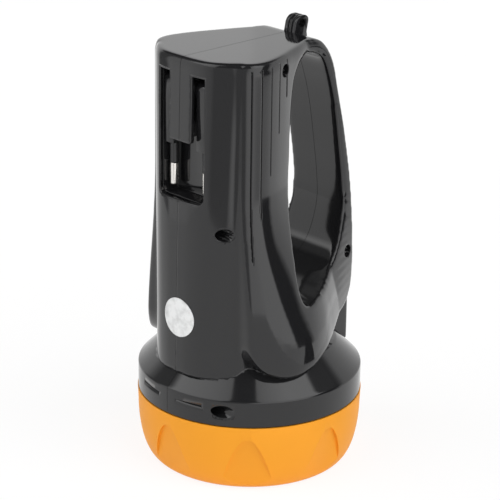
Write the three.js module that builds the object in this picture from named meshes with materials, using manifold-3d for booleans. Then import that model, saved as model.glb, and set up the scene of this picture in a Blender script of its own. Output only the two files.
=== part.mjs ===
// A rechargeable hand lamp with a loop handle and a fold-out mains plug.
// Millimetres, +Z up. The lamp stands face down on its bezel: the origin is the centre of
// the rim that it rests on, +X points to the handle, the plug is on the -X side, and the
// two housing halves meet on the plane Y = 0. "near" is the -Y side and "far" the +Y side.
import * as THREE from 'three';
import { mergeVertices } from 'three/addons/utils/BufferGeometryUtils.js';
import Module from 'manifold-3d';

const wasm = await Module();
wasm.setup();

// Overall sizes
const lampHeight = 194;
const headRadius = 51;
const handleInset = 0.4;
const handleReach = headRadius - handleInset;
const bodyReach = 43.2;
const bodyHalfWidth = 32;
const gripHalfWidth = 15.5;

// Shared walls and clearances
const wall = 2.2;
const fitGap = 0.3;
const seamGap = 0.2;
const touchGap = 0.1;
const overrun = 6;

// Head: bezel, black collar and the shoulder above it
const bezelHeight = 32;
const bezelRoundHeight = 25.5;
const bezelRimInset = 8.7;
const bezelRimWidth = 2.8;
const bezelWall = 3;
const collarHeight = 11.6;
const shoulderRise = 12.4;
const spigotDepth = 14;
const spigotWall = 2.4;
const lensSeatHeight = 4;
const lensThickness = 2.4;
const gasketThickness = 0.8;
const gasketWidth = 3.2;

// Light source
const reflectorWall = 1.6;
const reflectorApexHeight = 44.5;
const reflectorMouthInset = 9;
const reflectorFlange = 1.3;
const ledHoleRadius = 6.2;
const ledRadius = 2.8;
const ledHeight = 3;
const ledBoardRadius = 10;
const boardThickness = 1.6;
const heatSinkRadius = 19;
const heatSinkPlate = 2;
const heatSinkFinHeight = 3.2;
const heatSinkFinThickness = 1.4;
const heatSinkFinPitch = 6;
const heatSinkFinCount = 5;
const lightRoomGap = 3;

// Plug recess and its liner
const recessHalfWidth = 13.7;
const recessFloorDrop = 49.3;
const recessTopRise = 6.4;
const recessCornerRadius = 3;
const bayTopRise = 8.7;
const bayFrontDepth = 2.6;
const bayDepth = 7.5;
const bayWall = 1.6;

// Fold-out plug: two arms on a hub, which swing out on both sides of a tongue in the case's wall
const plugAxisDepth = 6.2;
const plugAxisDrop = 13.9;
const plugArmRadius = 3.4;
const plugBottomDrop = 26.7;
const plugSideGap = 0.4;
const tongueHalfWidth = 6.9;
const tongueLift = 3.4;
const tongueCornerRadius = 1.2;
const pinSpacing = 20.6;
const pinRadius = 2;
const pinCoreRadius = 1.3;
const pinLength = 19.6;
const pinRoot = 5;
const sleeveLength = 9.6;
const sleeveWall = 0.4;
const axleRadius = 1;
const axleGap = 0.06;
const contactWidth = 3;
const contactThickness = 0.6;
const contactLength = 18;

// Battery, charger board and what stands on them
const batteryClearance = 0.45;
const batteryWidth = 47;
const batteryFloorHeight = 64;
const batteryHeadroom = 30;
const batteryBehind = 2.3;
const terminalWidth = 6;
const terminalHeight = 6;
const terminalThickness = 0.8;
const terminalSpacing = 30;
const shelfThickness = 2;
const chargerWidth = 29;
const chargerFloorHeight = 62;
const chargerHeadroom = 4.1;
const chargerDepth = 3.8;
const railWidth = 3.2;
const railDepth = 4.4;
const railGrip = 1;
const capacitorSize = { depth: 5.4, width: 13, heightShare: 0.355 };
const capacitorPlace = { across: -5, riseShare: 0.5 };
const rectifierSize = { depth: 2.4, width: 6.6, heightShare: 0.19 };
const rectifierPlace = { across: 7, riseShare: 0.21 };

// Slide switch on the outer face of the handle's foot
const switchHeight = 70;
const handleScrewRise = 19.6;
const switchTravel = 6;
const switchDishDepth = 3;
const switchDishWidth = 15;
const switchDishHeight = 25;
const knobWidth = 12.4;
const knobHeight = 15;
const knobRise = 2.4;
const knobRibCount = 5;
const knobRibDepth = 0.7;
const stemWidth = 3;
const stemHeight = 4;
const stemReach = 1.8;
const switchBodySize = { depth: 6, width: 9, height: 19 };
const switchCradleHeight = 8;

// Case screws
const screwWellRadius = 2.85;
const screwHeadRadius = 2.55;
const screwHeadHeight = 2;
const screwShankRadius = 1.4;
const screwLength = 14;
const screwSeatDepth = 5;
const screwCrossWidth = 0.8;
const screwCrossDepth = 1;
const bossWall = 1.4;
const bodyScrewDrop = 12.5;

// Lanyard eye
const eyeReach = 26.3;
const eyeHalfWidth = 3.9;
const eyeRise = 6.6;
const eyeCornerRadius = 2.6;
const eyeFlare = 1.2;
const eyeRoot = 8;
const eyeThickness = 6.6;
const eyeLugThickness = 1.9;
const eyeGroove = 0.6;
const eyeHoleRadius = 1.85;
const eyeHoleRise = 3.2;

// Round bare seal over the back seam
const stickerHeight = 77;
const stickerRadius = 8.9;
const stickerAcross = 1.6;
const stickerThickness = 0.3;

// Decorative grooves and the rounded edge round the flat top
const grooveWidth = 0.8;
const grooveDepth = 0.7;
const topEdgeRadius = 1.8;

// Mesh fineness
const roundSteps = 56;
const smallSteps = 14;
const sectionSteps = 14;
const outlineSteps = 42;
const loopSteps = 36;
const curveSteps = 6;
const mergeTolerance = 1e-4;

// The body's plan at the top and at the foot, from the back seam to the crease and on
// under the side cheek, as shares of bodyReach and bodyHalfWidth.
const bodyTopShares = [[-1, 0], [-0.994, 0.28], [-0.965, 0.485], [-0.885, 0.66], [-0.77, 0.825], [-0.62, 0.9], [-0.38, 0.88]];
const bodyFootShares = [[-1.06, 0], [-1.053, 0.19], [-1.018, 0.375], [-0.956, 0.525], [-0.873, 0.655], [-0.765, 0.8], [-0.38, 0.88]];

// The side cheek's plan, from the crease to the start of the grip, as the same shares.
const cheekTopShares = [[-0.768, 0.86], [-0.67, 0.962], [-0.545, 0.995], [-0.395, 0.965], [-0.2, 0.885], [0, 0.775], [0.195, 0.665], [0.36, 0.558]];
const cheekFootShares = [[-0.75, 1.05], [-0.6, 1.205], [-0.44, 1.315], [-0.265, 1.37], [-0.04, 1.357], [0.215, 1.24], [0.475, 1.03], [0.77, 0.772]];
const cheekTopStartShare = 0.72;
const cheekFootShare = 0.3;

// Heights of the plan sections, as shares of lampHeight.
const sectionShares = [0.26, 0.3, 0.36, 0.42, 0.48, 0.54, 0.6, 0.66, 0.72, 0.86];

// The outer edge of the handle and cheek from the end of the flat top round the grip to
// the cheek's rounded foot, and the loop through them, as shares of handleReach and
// lampHeight.
const gripEdgeShares = [
  [0.405, 1], [0.51, 0.9895], [0.6, 0.965], [0.665, 0.934], [0.715, 0.892], [0.78, 0.825], [0.855, 0.74],
  [0.93, 0.64], [0.975, 0.54], [0.993, 0.47], [0.994, 0.42], [0.96, 0.372], [0.87, 0.345], [0.68, 0.329],
  [0.42, 0.31], [0.18, 0.295], [-0.03, 0.278], [-0.23, 0.2675], [-0.39, 0.271], [-0.53, 0.288],
  [-0.62, 0.325], [-0.66, 0.385],
];
const cheekBackShare = -0.8;
const loopShares = [
  [0.36, 0.9695], [0.2, 0.966], [0.1, 0.953], [0.03, 0.93], [-0.012, 0.89], [-0.04, 0.83], [-0.056, 0.75],
  [-0.07, 0.69], [-0.1, 0.625], [-0.13, 0.565], [-0.15, 0.51], [-0.153, 0.475], [-0.13, 0.44], [-0.07, 0.4225],
  [0.05, 0.426], [0.2, 0.43], [0.36, 0.4365], [0.52, 0.448], [0.63, 0.465], [0.72, 0.492], [0.785, 0.53],
  [0.828, 0.58], [0.812, 0.645], [0.772, 0.715], [0.705, 0.815], [0.62, 0.895], [0.52, 0.948],
];

// Places of the case screws, as shares of handleReach and lampHeight. The body's screw lies
// below the recess and the handle's above the switch.
const screwShares = {
  top: [-0.17, 0.966],
  collar_back: [-0.84, 0.202],
  collar_front: [0.84, 0.202],
};

// Grooves on the cheeks, each a place along X and the ends of its run along Z, as shares
// of bodyReach and lampHeight.
const grooveShares = [[-0.696, 0.545, 0.985], [-0.593, 0.647, 0.986], [-0.459, 0.741, 0.987], [-0.315, 0.83, 0.988], [-0.165, 0.905, 0.99]];

// The shoulder's profile from the collar up, as shares of headRadius and shoulderRise.
const shoulderShares = [[0.994, 0], [0.984, 0.04], [0.966, 0.1], [0.932, 0.26], [0.893, 0.44], [0.854, 0.6], [0.82, 0.76], [0.755, 1]];
const crownShare = 0.37;

// The places of the body's and the handle's screws along X, as shares of bodyReach and
// handleReach. Where the reflector's room is measured, as shares of its height. The steps of
// the sticker's skin, as shares of its size. How far a screw's cross reaches, as a share of
// its head.
const bodyScrewShare = -0.8585;
const handleScrewShare = 0.888;
const lightRoomShares = [0.2, 0.5, 0.8];
const skinShares = [-1, -0.5, 0, 0.5, 1];
const crossReachShare = 0.7;

// Finishes
const finishOf = (color, roughness, metalness) => new THREE.MeshStandardMaterial({ color, roughness, metalness });
const blackPlastic = finishOf(0x16171a, 0.2, 0);
const yellowPlastic = finishOf(0xf2a21c, 0.4, 0);
const clearPlastic = finishOf(0xe6eef2, 0.05, 0);
const blackRubber = finishOf(0x26282a, 0.85, 0);
const mirrorCoat = finishOf(0xe8eaec, 0.08, 1);
const emitterYellow = finishOf(0xf4e27a, 0.3, 0);
const boardGreen = finishOf(0x1c6b3c, 0.5, 0);
const boardWhite = finishOf(0xe9e9e4, 0.5, 0);
const bareAluminium = finishOf(0xb9bcc0, 0.35, 1);
const batteryGrey = finishOf(0x4d5560, 0.5, 0);
const nickel = finishOf(0xd6d3cb, 0.2, 1);
const brass = finishOf(0xc79a45, 0.3, 1);
const steel = finishOf(0x8c8f93, 0.35, 1);
const filmBlue = finishOf(0x2f66b0, 0.4, 0);
const silverFoil = finishOf(0xc9ccd0, 0.3, 1);

const lamp = new THREE.Group();

// Solids from three.js geometry

function toSolid(geometry) {
  const bare = new THREE.BufferGeometry();
  bare.setAttribute('position', geometry.getAttribute('position').clone());
  if (geometry.index) bare.setIndex(geometry.index.clone());
  const merged = mergeVertices(bare, mergeTolerance);
  const vertProperties = new Float32Array(merged.getAttribute('position').array);
  const corners = Array.from(merged.index.array);
  const faces = [];
  for (let i = 0; i < corners.length; i += 3) {
    const [a, b, c] = corners.slice(i, i + 3);
    if (a !== b && b !== c && c !== a) faces.push(a, b, c);
  }
  const build = (list) => new wasm.Manifold(new wasm.Mesh({ numProp: 3, vertProperties, triVerts: new Uint32Array(list) }));
  const solid = build(faces);
  if (solid.volume() > 0) return solid;
  const turned = [];
  for (let i = 0; i < faces.length; i += 3) turned.push(faces[i], faces[i + 2], faces[i + 1]);
  return build(turned);
}

function addPiece(name, solid, material) {
  const shape = solid.getMesh();
  const geometry = new THREE.BufferGeometry();
  geometry.setAttribute('position', new THREE.BufferAttribute(new Float32Array(shape.vertProperties), 3));
  geometry.setIndex(Array.from(shape.triVerts));
  geometry.computeVertexNormals();
  const piece = new THREE.Mesh(geometry, material);
  piece.name = name;
  lamp.add(piece);
}

// A box from one corner to the opposite one, in any order.
function block(from, to) {
  const low = from.map((value, i) => Math.min(value, to[i]));
  const size = from.map((value, i) => Math.abs(to[i] - value));
  const geometry = new THREE.BoxGeometry(...size);
  geometry.translate(...low.map((value, i) => value + size[i] / 2));
  return toSolid(geometry);
}

// Round bars between two places along one axis.
function barAlongZ(x, y, radius, low, high, steps = smallSteps) {
  const geometry = new THREE.CylinderGeometry(radius, radius, high - low, steps);
  geometry.rotateX(Math.PI / 2);
  geometry.translate(x, y, (low + high) / 2);
  return toSolid(geometry);
}

function barAlongY(x, z, radius, low, high, steps = smallSteps) {
  const geometry = new THREE.CylinderGeometry(radius, radius, high - low, steps);
  geometry.translate(x, (low + high) / 2, z);
  return toSolid(geometry);
}

function barAlongX(y, z, radius, low, high, steps = smallSteps) {
  const geometry = new THREE.CylinderGeometry(radius, radius, high - low, steps);
  geometry.rotateZ(Math.PI / 2);
  geometry.translate((low + high) / 2, y, z);
  return toSolid(geometry);
}

// A solid of revolution about the lamp's axis, from [radius, height] points.
function revolve(profile, steps = roundSteps) {
  const geometry = new THREE.LatheGeometry(profile.map(([r, z]) => new THREE.Vector2(r, z)), steps);
  geometry.rotateX(Math.PI / 2);
  return toSolid(geometry);
}

// An outline of [x, z] points pushed along Y.
function slabAlongY(outline, low, high) {
  const shape = new THREE.Shape(outline.map(([x, z]) => new THREE.Vector2(x, z)));
  const geometry = new THREE.ExtrudeGeometry(shape, { depth: high - low, bevelEnabled: false });
  geometry.rotateX(Math.PI / 2);
  geometry.translate(0, high, 0);
  return toSolid(geometry);
}

// An outline of [y, z] points pushed along X.
function slabAlongX(outline, low, high) {
  const shape = new THREE.Shape(outline.map(([y, z]) => new THREE.Vector2(y, z)));
  const geometry = new THREE.ExtrudeGeometry(shape, { depth: high - low, bevelEnabled: false });
  geometry.rotateX(Math.PI / 2);
  geometry.rotateZ(Math.PI / 2);
  geometry.translate(low, 0, 0);
  return toSolid(geometry);
}

// A solid through closed sections, each a list of [x, y] points at its own height.
function loft(sections) {
  const count = sections[0].points.length;
  const positions = sections.flatMap(({ points, z }) => points.flatMap(([x, y]) => [x, y, z]));
  const faces = [];
  for (let level = 0; level + 1 < sections.length; level += 1) {
    for (let i = 0; i < count; i += 1) {
      const a = level * count + i;
      const b = level * count + ((i + 1) % count);
      faces.push(a, b, b + count, a, b + count, a + count);
    }
  }
  const capOf = ({ points }) => THREE.ShapeUtils.triangulateShape(points.map(([x, y]) => new THREE.Vector2(x, y)), []);
  const top = (sections.length - 1) * count;
  for (const [a, b, c] of capOf(sections[0])) faces.push(c, b, a);
  for (const [a, b, c] of capOf(sections[sections.length - 1])) faces.push(top + a, top + b, top + c);
  const geometry = new THREE.BufferGeometry();
  geometry.setAttribute('position', new THREE.Float32BufferAttribute(positions, 3));
  geometry.setIndex(faces);
  return toSolid(geometry);
}

// Outlines

const scaled = (shares, width, height) => shares.map(([u, v]) => [u * width, v * height]);
const mixed = (a, b, share) => a.map(([x, y], i) => [x + (b[i][0] - x) * share, y + (b[i][1] - y) * share]);

function smooth(points, steps, closed) {
  const curve = new THREE.CatmullRomCurve3(points.map(([u, v]) => new THREE.Vector3(u, v, 0)), closed, 'centripetal');
  const sampled = curve.getPoints(steps).map((point) => [point.x, point.y]);
  return closed ? sampled.slice(0, -1) : sampled;
}

// Every corner moves square to its neighbours, inward for a positive distance.
function inset(points, distance) {
  if (distance === 0) return points;
  const area = points.reduce((sum, [x, y], i) => {
    const [nx, ny] = points[(i + 1) % points.length];
    return sum + x * ny - nx * y;
  }, 0);
  const side = Math.sign(area) * distance;
  return points.map(([x, y], i) => {
    const [px, py] = points[(i + points.length - 1) % points.length];
    const [nx, ny] = points[(i + 1) % points.length];
    const before = new THREE.Vector2(x - px, y - py).normalize();
    const after = new THREE.Vector2(nx - x, ny - y).normalize();
    const normal = new THREE.Vector2(-(before.y + after.y), before.x + after.x).normalize();
    const stretch = side / Math.max(Math.sqrt((1 + before.dot(after)) / 2), Math.SQRT1_2);
    return [x + normal.x * stretch, y + normal.y * stretch];
  });
}

const mirrored = (points) => [...points, ...points.filter(([, y]) => y !== 0).map(([x, y]) => [x, -y]).reverse()];

// How far down a height lies between two shares of the lamp's height, 0 to 1.
function fallShare(z, startShare, endShare) {
  return THREE.MathUtils.clamp((startShare * lampHeight - z) / ((startShare - endShare) * lampHeight), 0, 1);
}

// Housing

const reach = headRadius + handleReach;
const bezelRimRadius = headRadius - bezelRimInset;
const reflectorMouthRadius = headRadius - reflectorMouthInset;
const plugAxisHeight = lampHeight - plugAxisDrop;
const plugBottomHeight = plugAxisHeight - plugBottomDrop;
const tongueBottomHeight = plugBottomHeight + tongueLift;
const recessFloorHeight = plugAxisHeight - recessFloorDrop;
const recessTopHeight = plugAxisHeight + recessTopRise;
const bayTopHeight = plugAxisHeight + bayTopRise;
const bodyScrewHeight = recessFloorHeight - bodyScrewDrop;
const handleScrewHeight = switchHeight + handleScrewRise;
const collarTopHeight = bezelHeight + collarHeight;
const shoulderTopHeight = collarTopHeight + shoulderRise;
const spigotRadius = headRadius - bezelWall - fitGap;
const spigotFootHeight = bezelHeight - spigotDepth;
const innerHeadRadius = spigotRadius - spigotWall;
const sectionHeights = sectionShares.map((share) => share * lampHeight);
const spineHalfWidth = gripHalfWidth - wall;
const spineTopHeight = handleScrewHeight;
const shoulderProfile = shoulderShares.map(([r, rise]) => [r * headRadius, collarTopHeight + rise * shoulderRise]);

function bodySection(z, depth) {
  const shares = mixed(bodyTopShares, bodyFootShares, fallShare(z, 1, cheekFootShare));
  const side = scaled(shares, bodyReach, -bodyHalfWidth);
  return { z, points: inset(mirrored(smooth(side, sectionSteps, false).map(([x, y], i) => [x, i === 0 ? 0 : y])), depth) };
}

function cheekSection(z, depth) {
  const fall = THREE.MathUtils.smoothstep(fallShare(z, cheekTopStartShare, cheekFootShare), 0, 1);
  const side = scaled(mixed(cheekTopShares, cheekFootShares, fall), bodyReach, -bodyHalfWidth);
  const half = [...smooth(side, sectionSteps, false), [handleReach, -gripHalfWidth], [handleReach + overrun, -gripHalfWidth]];
  return { z, points: inset(mirrored(half), depth) };
}

// Sections up to the rounded edge round the flat top.
function roundedTop(section) {
  const sections = [section(lampHeight - topEdgeRadius, 0)];
  for (const turn of [Math.PI / 6, Math.PI / 3, Math.PI / 2]) {
    sections.push(section(lampHeight - topEdgeRadius * (1 - Math.sin(turn)), topEdgeRadius * (1 - Math.cos(turn))));
  }
  return sections;
}

const gripEdge = smooth(scaled(gripEdgeShares, handleReach, lampHeight), outlineSteps, false);
const cheekBack = cheekBackShare * handleReach;
const sideOutline = [[cheekBack, lampHeight], ...gripEdge, [cheekBack, gripEdge[gripEdge.length - 1][1]]];
const loopOutline = smooth(scaled(loopShares, handleReach, lampHeight), loopSteps, true);
const loopCut = slabAlongY(loopOutline, -reach, reach);

// Lanyard eye: a thin middle with two outer lugs and a ridge on the seam

function eyeOutline(shrink) {
  const half = eyeHalfWidth - shrink;
  const top = lampHeight + eyeRise - shrink;
  const corner = eyeCornerRadius - shrink;
  const foot = lampHeight - eyeRoot;
  const shape = new THREE.Shape();
  shape.moveTo(eyeReach - half - eyeFlare, foot);
  shape.lineTo(eyeReach + half + eyeFlare, foot);
  shape.lineTo(eyeReach + half, lampHeight - eyeRise / 2);
  shape.absarc(eyeReach + half - corner, top - corner, corner, 0, Math.PI / 2, false);
  shape.absarc(eyeReach - half + corner, top - corner, corner, Math.PI / 2, Math.PI, false);
  shape.lineTo(eyeReach - half, lampHeight - eyeRise / 2);
  return shape.getPoints(curveSteps).map((point) => [point.x, point.y]);
}

function lanyardEye() {
  const half = eyeThickness / 2;
  const ridge = half - eyeLugThickness - eyeGroove;
  const full = eyeOutline(0);
  return slabAlongY(eyeOutline(eyeGroove), -half, half)
    .add(slabAlongY(full, -half, eyeLugThickness - half))
    .add(slabAlongY(full, half - eyeLugThickness, half))
    .add(slabAlongY(full, -ridge, ridge))
    .subtract(barAlongY(eyeReach, lampHeight + eyeHoleRise, eyeHoleRadius, -reach, reach));
}

function outerShell() {
  const body = loft([...sectionHeights.map((z) => bodySection(z, 0)), ...roundedTop(bodySection)]);
  const cheekBlock = loft([cheekSection(collarTopHeight, 0), ...sectionHeights.map((z) => cheekSection(z, 0)), ...roundedTop(cheekSection)]);
  const cheeks = cheekBlock.intersect(slabAlongY(sideOutline, -reach, reach));
  const spine = block([handleReach / 2, -spineHalfWidth, collarTopHeight], [handleReach - touchGap, spineHalfWidth, spineTopHeight]);
  const head = revolve([
    [0, spigotFootHeight], [spigotRadius, spigotFootHeight], [spigotRadius, bezelHeight + fitGap],
    [shoulderProfile[0][0], bezelHeight + fitGap], ...shoulderProfile,
    [headRadius * crownShare, shoulderTopHeight + wall], [0, shoulderTopHeight + wall],
  ]);
  return body.add(cheeks).add(spine).add(head).add(lanyardEye()).subtract(loopCut);
}

function hollow() {
  const bodyFoot = shoulderTopHeight - shoulderRise / 2;
  const ceiling = lampHeight - wall;
  const body = loft([bodyFoot, ...sectionHeights.slice(1), ceiling].map((z) => bodySection(z, wall)));
  const cheekBlock = loft([collarTopHeight, ...sectionHeights, ceiling].map((z) => cheekSection(z, wall)));
  const cheeks = cheekBlock.intersect(slabAlongY(inset(sideOutline, wall), -reach, reach));
  const spine = block(
    [handleReach / 2, wall - spineHalfWidth, shoulderTopHeight - shoulderRise / 2],
    [handleReach - wall, spineHalfWidth - wall, spineTopHeight],
  );
  const innerShoulder = shoulderProfile.slice(4).map(([r, z]) => [r - wall, z - wall / 2]).filter(([, z]) => z < shoulderTopHeight - wall);
  const head = revolve([
    [0, spigotFootHeight - overrun], [innerHeadRadius, spigotFootHeight - overrun], [innerHeadRadius, collarTopHeight],
    ...innerShoulder, [shoulderProfile[shoulderProfile.length - 1][0] - wall, shoulderTopHeight - wall], [0, shoulderTopHeight - wall],
  ]);
  const loopWall = slabAlongY(inset(loopOutline, -wall), -reach, reach);
  return body.add(cheeks).add(spine).subtract(loopWall).add(head);
}

// The recess for the plug. Its opening goes round a tongue of the case's wall, which hangs
// from the upper edge between the plug's arms.

const plugAxisX = plugAxisDepth - bodyReach;
const bayFront = bayFrontDepth - bodyReach;
const bayBack = bayFront + bayDepth;
const bayOuterBack = bayBack + bayWall;
const bayHalfWidth = recessHalfWidth + bayWall;

function recessOutline(top) {
  const half = recessHalfWidth;
  const corner = recessCornerRadius;
  const shape = new THREE.Shape();
  shape.moveTo(-half, top);
  shape.lineTo(-half, recessFloorHeight + corner);
  shape.absarc(corner - half, recessFloorHeight + corner, corner, Math.PI, Math.PI * 1.5, false);
  shape.absarc(half - corner, recessFloorHeight + corner, corner, -Math.PI / 2, 0, false);
  shape.lineTo(half, top);
  return shape.getPoints(curveSteps).map((point) => [point.x, point.y]);
}

function tongueOutline() {
  const half = tongueHalfWidth;
  const corner = tongueCornerRadius;
  const shape = new THREE.Shape();
  shape.moveTo(-half, recessTopHeight + overrun);
  shape.lineTo(-half, tongueBottomHeight + corner);
  shape.absarc(corner - half, tongueBottomHeight + corner, corner, Math.PI, Math.PI * 1.5, false);
  shape.absarc(half - corner, tongueBottomHeight + corner, corner, -Math.PI / 2, 0, false);
  shape.lineTo(half, recessTopHeight + overrun);
  return shape.getPoints(curveSteps).map((point) => [point.x, point.y]);
}

function recessCut() {
  const opening = slabAlongX(recessOutline(recessTopHeight), -bodyReach - overrun, bayFront + fitGap)
    .subtract(slabAlongX(tongueOutline(), -reach, bayFront - fitGap));
  const room = block(
    [bayFront - fitGap, -bayHalfWidth - fitGap, recessFloorHeight - bayWall - fitGap],
    [bayOuterBack + fitGap, bayHalfWidth + fitGap, bayTopHeight + bayWall + fitGap],
  );
  return opening.add(room);
}

// Bosses for the case screws, shelves for the battery, rails for the charger board and a
// cradle for the switch

const screws = Object.entries(screwShares).map(([name, [u, v]]) => ({ name, x: u * handleReach, z: v * lampHeight }));
screws.splice(
  1, 0,
  { name: 'body', x: bodyScrewShare * bodyReach, z: bodyScrewHeight },
  { name: 'handle', x: handleScrewShare * handleReach, z: handleScrewHeight },
);
const batteryX = bayOuterBack + batteryBehind;
const batteryDepth = Math.min(...loopOutline.map(([x]) => x)) - wall - batteryClearance - batteryX;
const batteryTop = lampHeight - batteryHeadroom;
const chargerX = chargerDepth - bodyReach;
const chargerFace = chargerX + boardThickness;
const chargerHalf = chargerWidth / 2;
const chargerHeight = bodyScrewHeight - screwWellRadius - bossWall - chargerHeadroom - chargerFloorHeight;
const switchFloorX = handleReach - switchDishDepth;
const switchMiddle = switchHeight - switchTravel / 2;
const switchBodyFront = switchFloorX - wall - stemReach;
const switchBodyBack = switchBodyFront - switchBodySize.depth;

function batteryShelves(side) {
  const shelf = (z) => block([batteryX, side * seamGap, z], [batteryX + batteryDepth, side * reach, z + shelfThickness]);
  return [shelf(batteryFloorHeight - fitGap - shelfThickness), shelf(batteryTop + fitGap)];
}

function chargerRail(side) {
  const back = chargerX - boardThickness;
  const rail = block(
    [back, side * (chargerHalf - railGrip), chargerFloorHeight - shelfThickness],
    [back + railDepth, side * (chargerHalf + railWidth + overrun), chargerFloorHeight + chargerHeight],
  );
  const slot = block(
    [chargerX - fitGap, -chargerHalf - fitGap, chargerFloorHeight - fitGap],
    [chargerFace + fitGap, chargerHalf + fitGap, chargerFloorHeight + chargerHeight + overrun],
  );
  return rail.subtract(slot);
}

function switchCradle(side) {
  return block(
    [switchBodyBack, side * (switchBodySize.width / 2 + fitGap), switchMiddle - switchCradleHeight / 2],
    [switchBodyFront, side * spineHalfWidth, switchMiddle + switchCradleHeight / 2],
  );
}

function switchFloor() {
  const half = switchDishHeight / 2 + wall;
  return block(
    [switchFloorX - wall, wall / 2 - spineHalfWidth, switchMiddle - half],
    [handleReach - wall / 2, spineHalfWidth - wall / 2, switchMiddle + half],
  );
}

function switchCut() {
  const dish = block(
    [switchFloorX, -switchDishWidth / 2, switchMiddle - switchDishHeight / 2],
    [reach, switchDishWidth / 2, switchMiddle + switchDishHeight / 2],
  );
  const slot = block(
    [switchFloorX - wall - touchGap, -stemWidth / 2 - fitGap, switchHeight - stemHeight / 2 - switchTravel - fitGap],
    [reach, stemWidth / 2 + fitGap, switchHeight + stemHeight / 2 + fitGap],
  );
  return dish.add(slot);
}

// Room for the reflector and the heat sink behind it.
const bowlScale = reflectorMouthRadius ** 2 / (reflectorApexHeight - lensSeatHeight);
const bowlRadius = (z) => Math.sqrt(bowlScale * (reflectorApexHeight - z));

function lightRoom() {
  const heights = lightRoomShares.map((share) => THREE.MathUtils.lerp(spigotFootHeight, reflectorApexHeight, share));
  return revolve([
    [0, spigotFootHeight - overrun], [innerHeadRadius, spigotFootHeight - overrun], [innerHeadRadius, spigotFootHeight],
    ...heights.map((z) => [bowlRadius(z) + reflectorWall + lightRoomGap, z]),
    [heatSinkRadius + fitGap * 2, reflectorApexHeight], [heatSinkRadius + fitGap * 2, shoulderTopHeight - wall], [0, shoulderTopHeight - wall],
  ]);
}

// A strip of the shell's near face at each groove, as thick as the groove is deep.
function grooveCuts(shell) {
  return grooveShares.map(([across, low, high]) => {
    const x = across * bodyReach;
    const strip = block([x - grooveWidth / 2, -reach, low * lampHeight], [x + grooveWidth / 2, -spineHalfWidth, high * lampHeight]).intersect(shell);
    return strip.subtract(strip.translate([0, grooveDepth, 0]));
  });
}

const shell = outerShell();
const walls = shell.subtract(hollow());
const grooves = grooveCuts(shell);
const recess = recessCut();

function housingHalf(side) {
  const inside = [chargerRail(side), switchCradle(side), switchFloor(), ...batteryShelves(side)];
  const bosses = screws.map(({ x, z }) => barAlongY(x, z, screwWellRadius + bossWall, side < 0 ? -reach : 0, side < 0 ? 0 : reach));
  const batteryRoom = block(
    [batteryX - fitGap, -batteryWidth / 2 - fitGap, batteryFloorHeight - fitGap],
    [batteryX + batteryDepth + fitGap, batteryWidth / 2 + fitGap, batteryTop + fitGap],
  );
  let fittings = inside[0];
  for (const solid of [...inside.slice(1), ...bosses]) fittings = fittings.add(solid);
  let housing = walls.add(fittings.intersect(shell).subtract(batteryRoom).subtract(lightRoom()));
  housing = housing.subtract(loopCut).subtract(recess).subtract(switchCut());
  housing = housing.intersect(block([-reach, side * seamGap / 2, 0], [reach, side * reach, lampHeight + eyeRise + overrun]));
  for (const { x, z } of screws) {
    housing = housing.subtract(barAlongY(x, z, screwShankRadius + fitGap, -screwSeatDepth - overrun, screwLength - screwSeatDepth + fitGap));
    if (side < 0) housing = housing.subtract(barAlongY(x, z, screwWellRadius, -reach, -screwSeatDepth, smallSteps * 2));
  }
  for (const groove of grooves) housing = housing.subtract(side < 0 ? groove : groove.mirror([0, 1, 0]));
  return housing;
}

addPiece('near_housing', housingHalf(-1), blackPlastic);
addPiece('far_housing', housingHalf(1), blackPlastic);

// Case screws, sunk in wells on the near side

function caseScrew({ x, z }) {
  const headTop = -screwSeatDepth - screwHeadHeight;
  const head = barAlongY(x, z, screwHeadRadius, headTop, -screwSeatDepth - touchGap);
  const shank = barAlongY(x, z, screwShankRadius, -screwSeatDepth - screwHeadHeight / 2, screwLength - screwSeatDepth);
  const arm = screwHeadRadius * crossReachShare;
  const cross = block([x - arm, headTop - touchGap, z - screwCrossWidth / 2], [x + arm, headTop + screwCrossDepth, z + screwCrossWidth / 2])
    .add(block([x - screwCrossWidth / 2, headTop - touchGap, z - arm], [x + screwCrossWidth / 2, headTop + screwCrossDepth, z + arm]));
  return head.add(shank).subtract(cross);
}

for (const screw of screws) addPiece(`${screw.name}_screw`, caseScrew(screw), steel);

// Head pieces

const lensRadius = bezelRimRadius + bezelRimWidth / 2;
const gasketLow = lensSeatHeight + touchGap;
const lensLow = gasketLow + gasketThickness + touchGap;
const lensHigh = lensLow + lensThickness;
const mouthHeight = lensHigh + touchGap;
const flangeHigh = spigotFootHeight - fitGap;

function bezelProfile() {
  const side = headRadius - fitGap;
  const outer = [];
  for (let i = 0; i <= curveSteps + 2; i += 1) {
    const turn = (i / (curveSteps + 2)) * (Math.PI / 2);
    outer.push([bezelRimRadius + (side - bezelRimRadius) * Math.sin(turn), bezelRoundHeight * (1 - Math.cos(turn))]);
  }
  const rimInner = bezelRimRadius - bezelRimWidth;
  const bore = headRadius - bezelWall;
  return [
    [rimInner, 0], ...outer, [headRadius, bezelHeight], [bore, bezelHeight], [bore, bezelHeight / 2],
    [lensRadius + fitGap, bezelHeight / 3], [lensRadius + fitGap, lensSeatHeight], [rimInner, lensSeatHeight], [rimInner, 0],
  ];
}
addPiece('bezel_ring', revolve(bezelProfile()), yellowPlastic);

addPiece('lens_gasket', revolve([
  [lensRadius - gasketWidth, gasketLow], [lensRadius, gasketLow], [lensRadius, gasketLow + gasketThickness],
  [lensRadius - gasketWidth, gasketLow + gasketThickness], [lensRadius - gasketWidth, gasketLow],
]), blackRubber);
addPiece('lens', revolve([[0, lensLow], [lensRadius, lensLow], [lensRadius, lensHigh], [0, lensHigh]]), clearPlastic);

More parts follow.
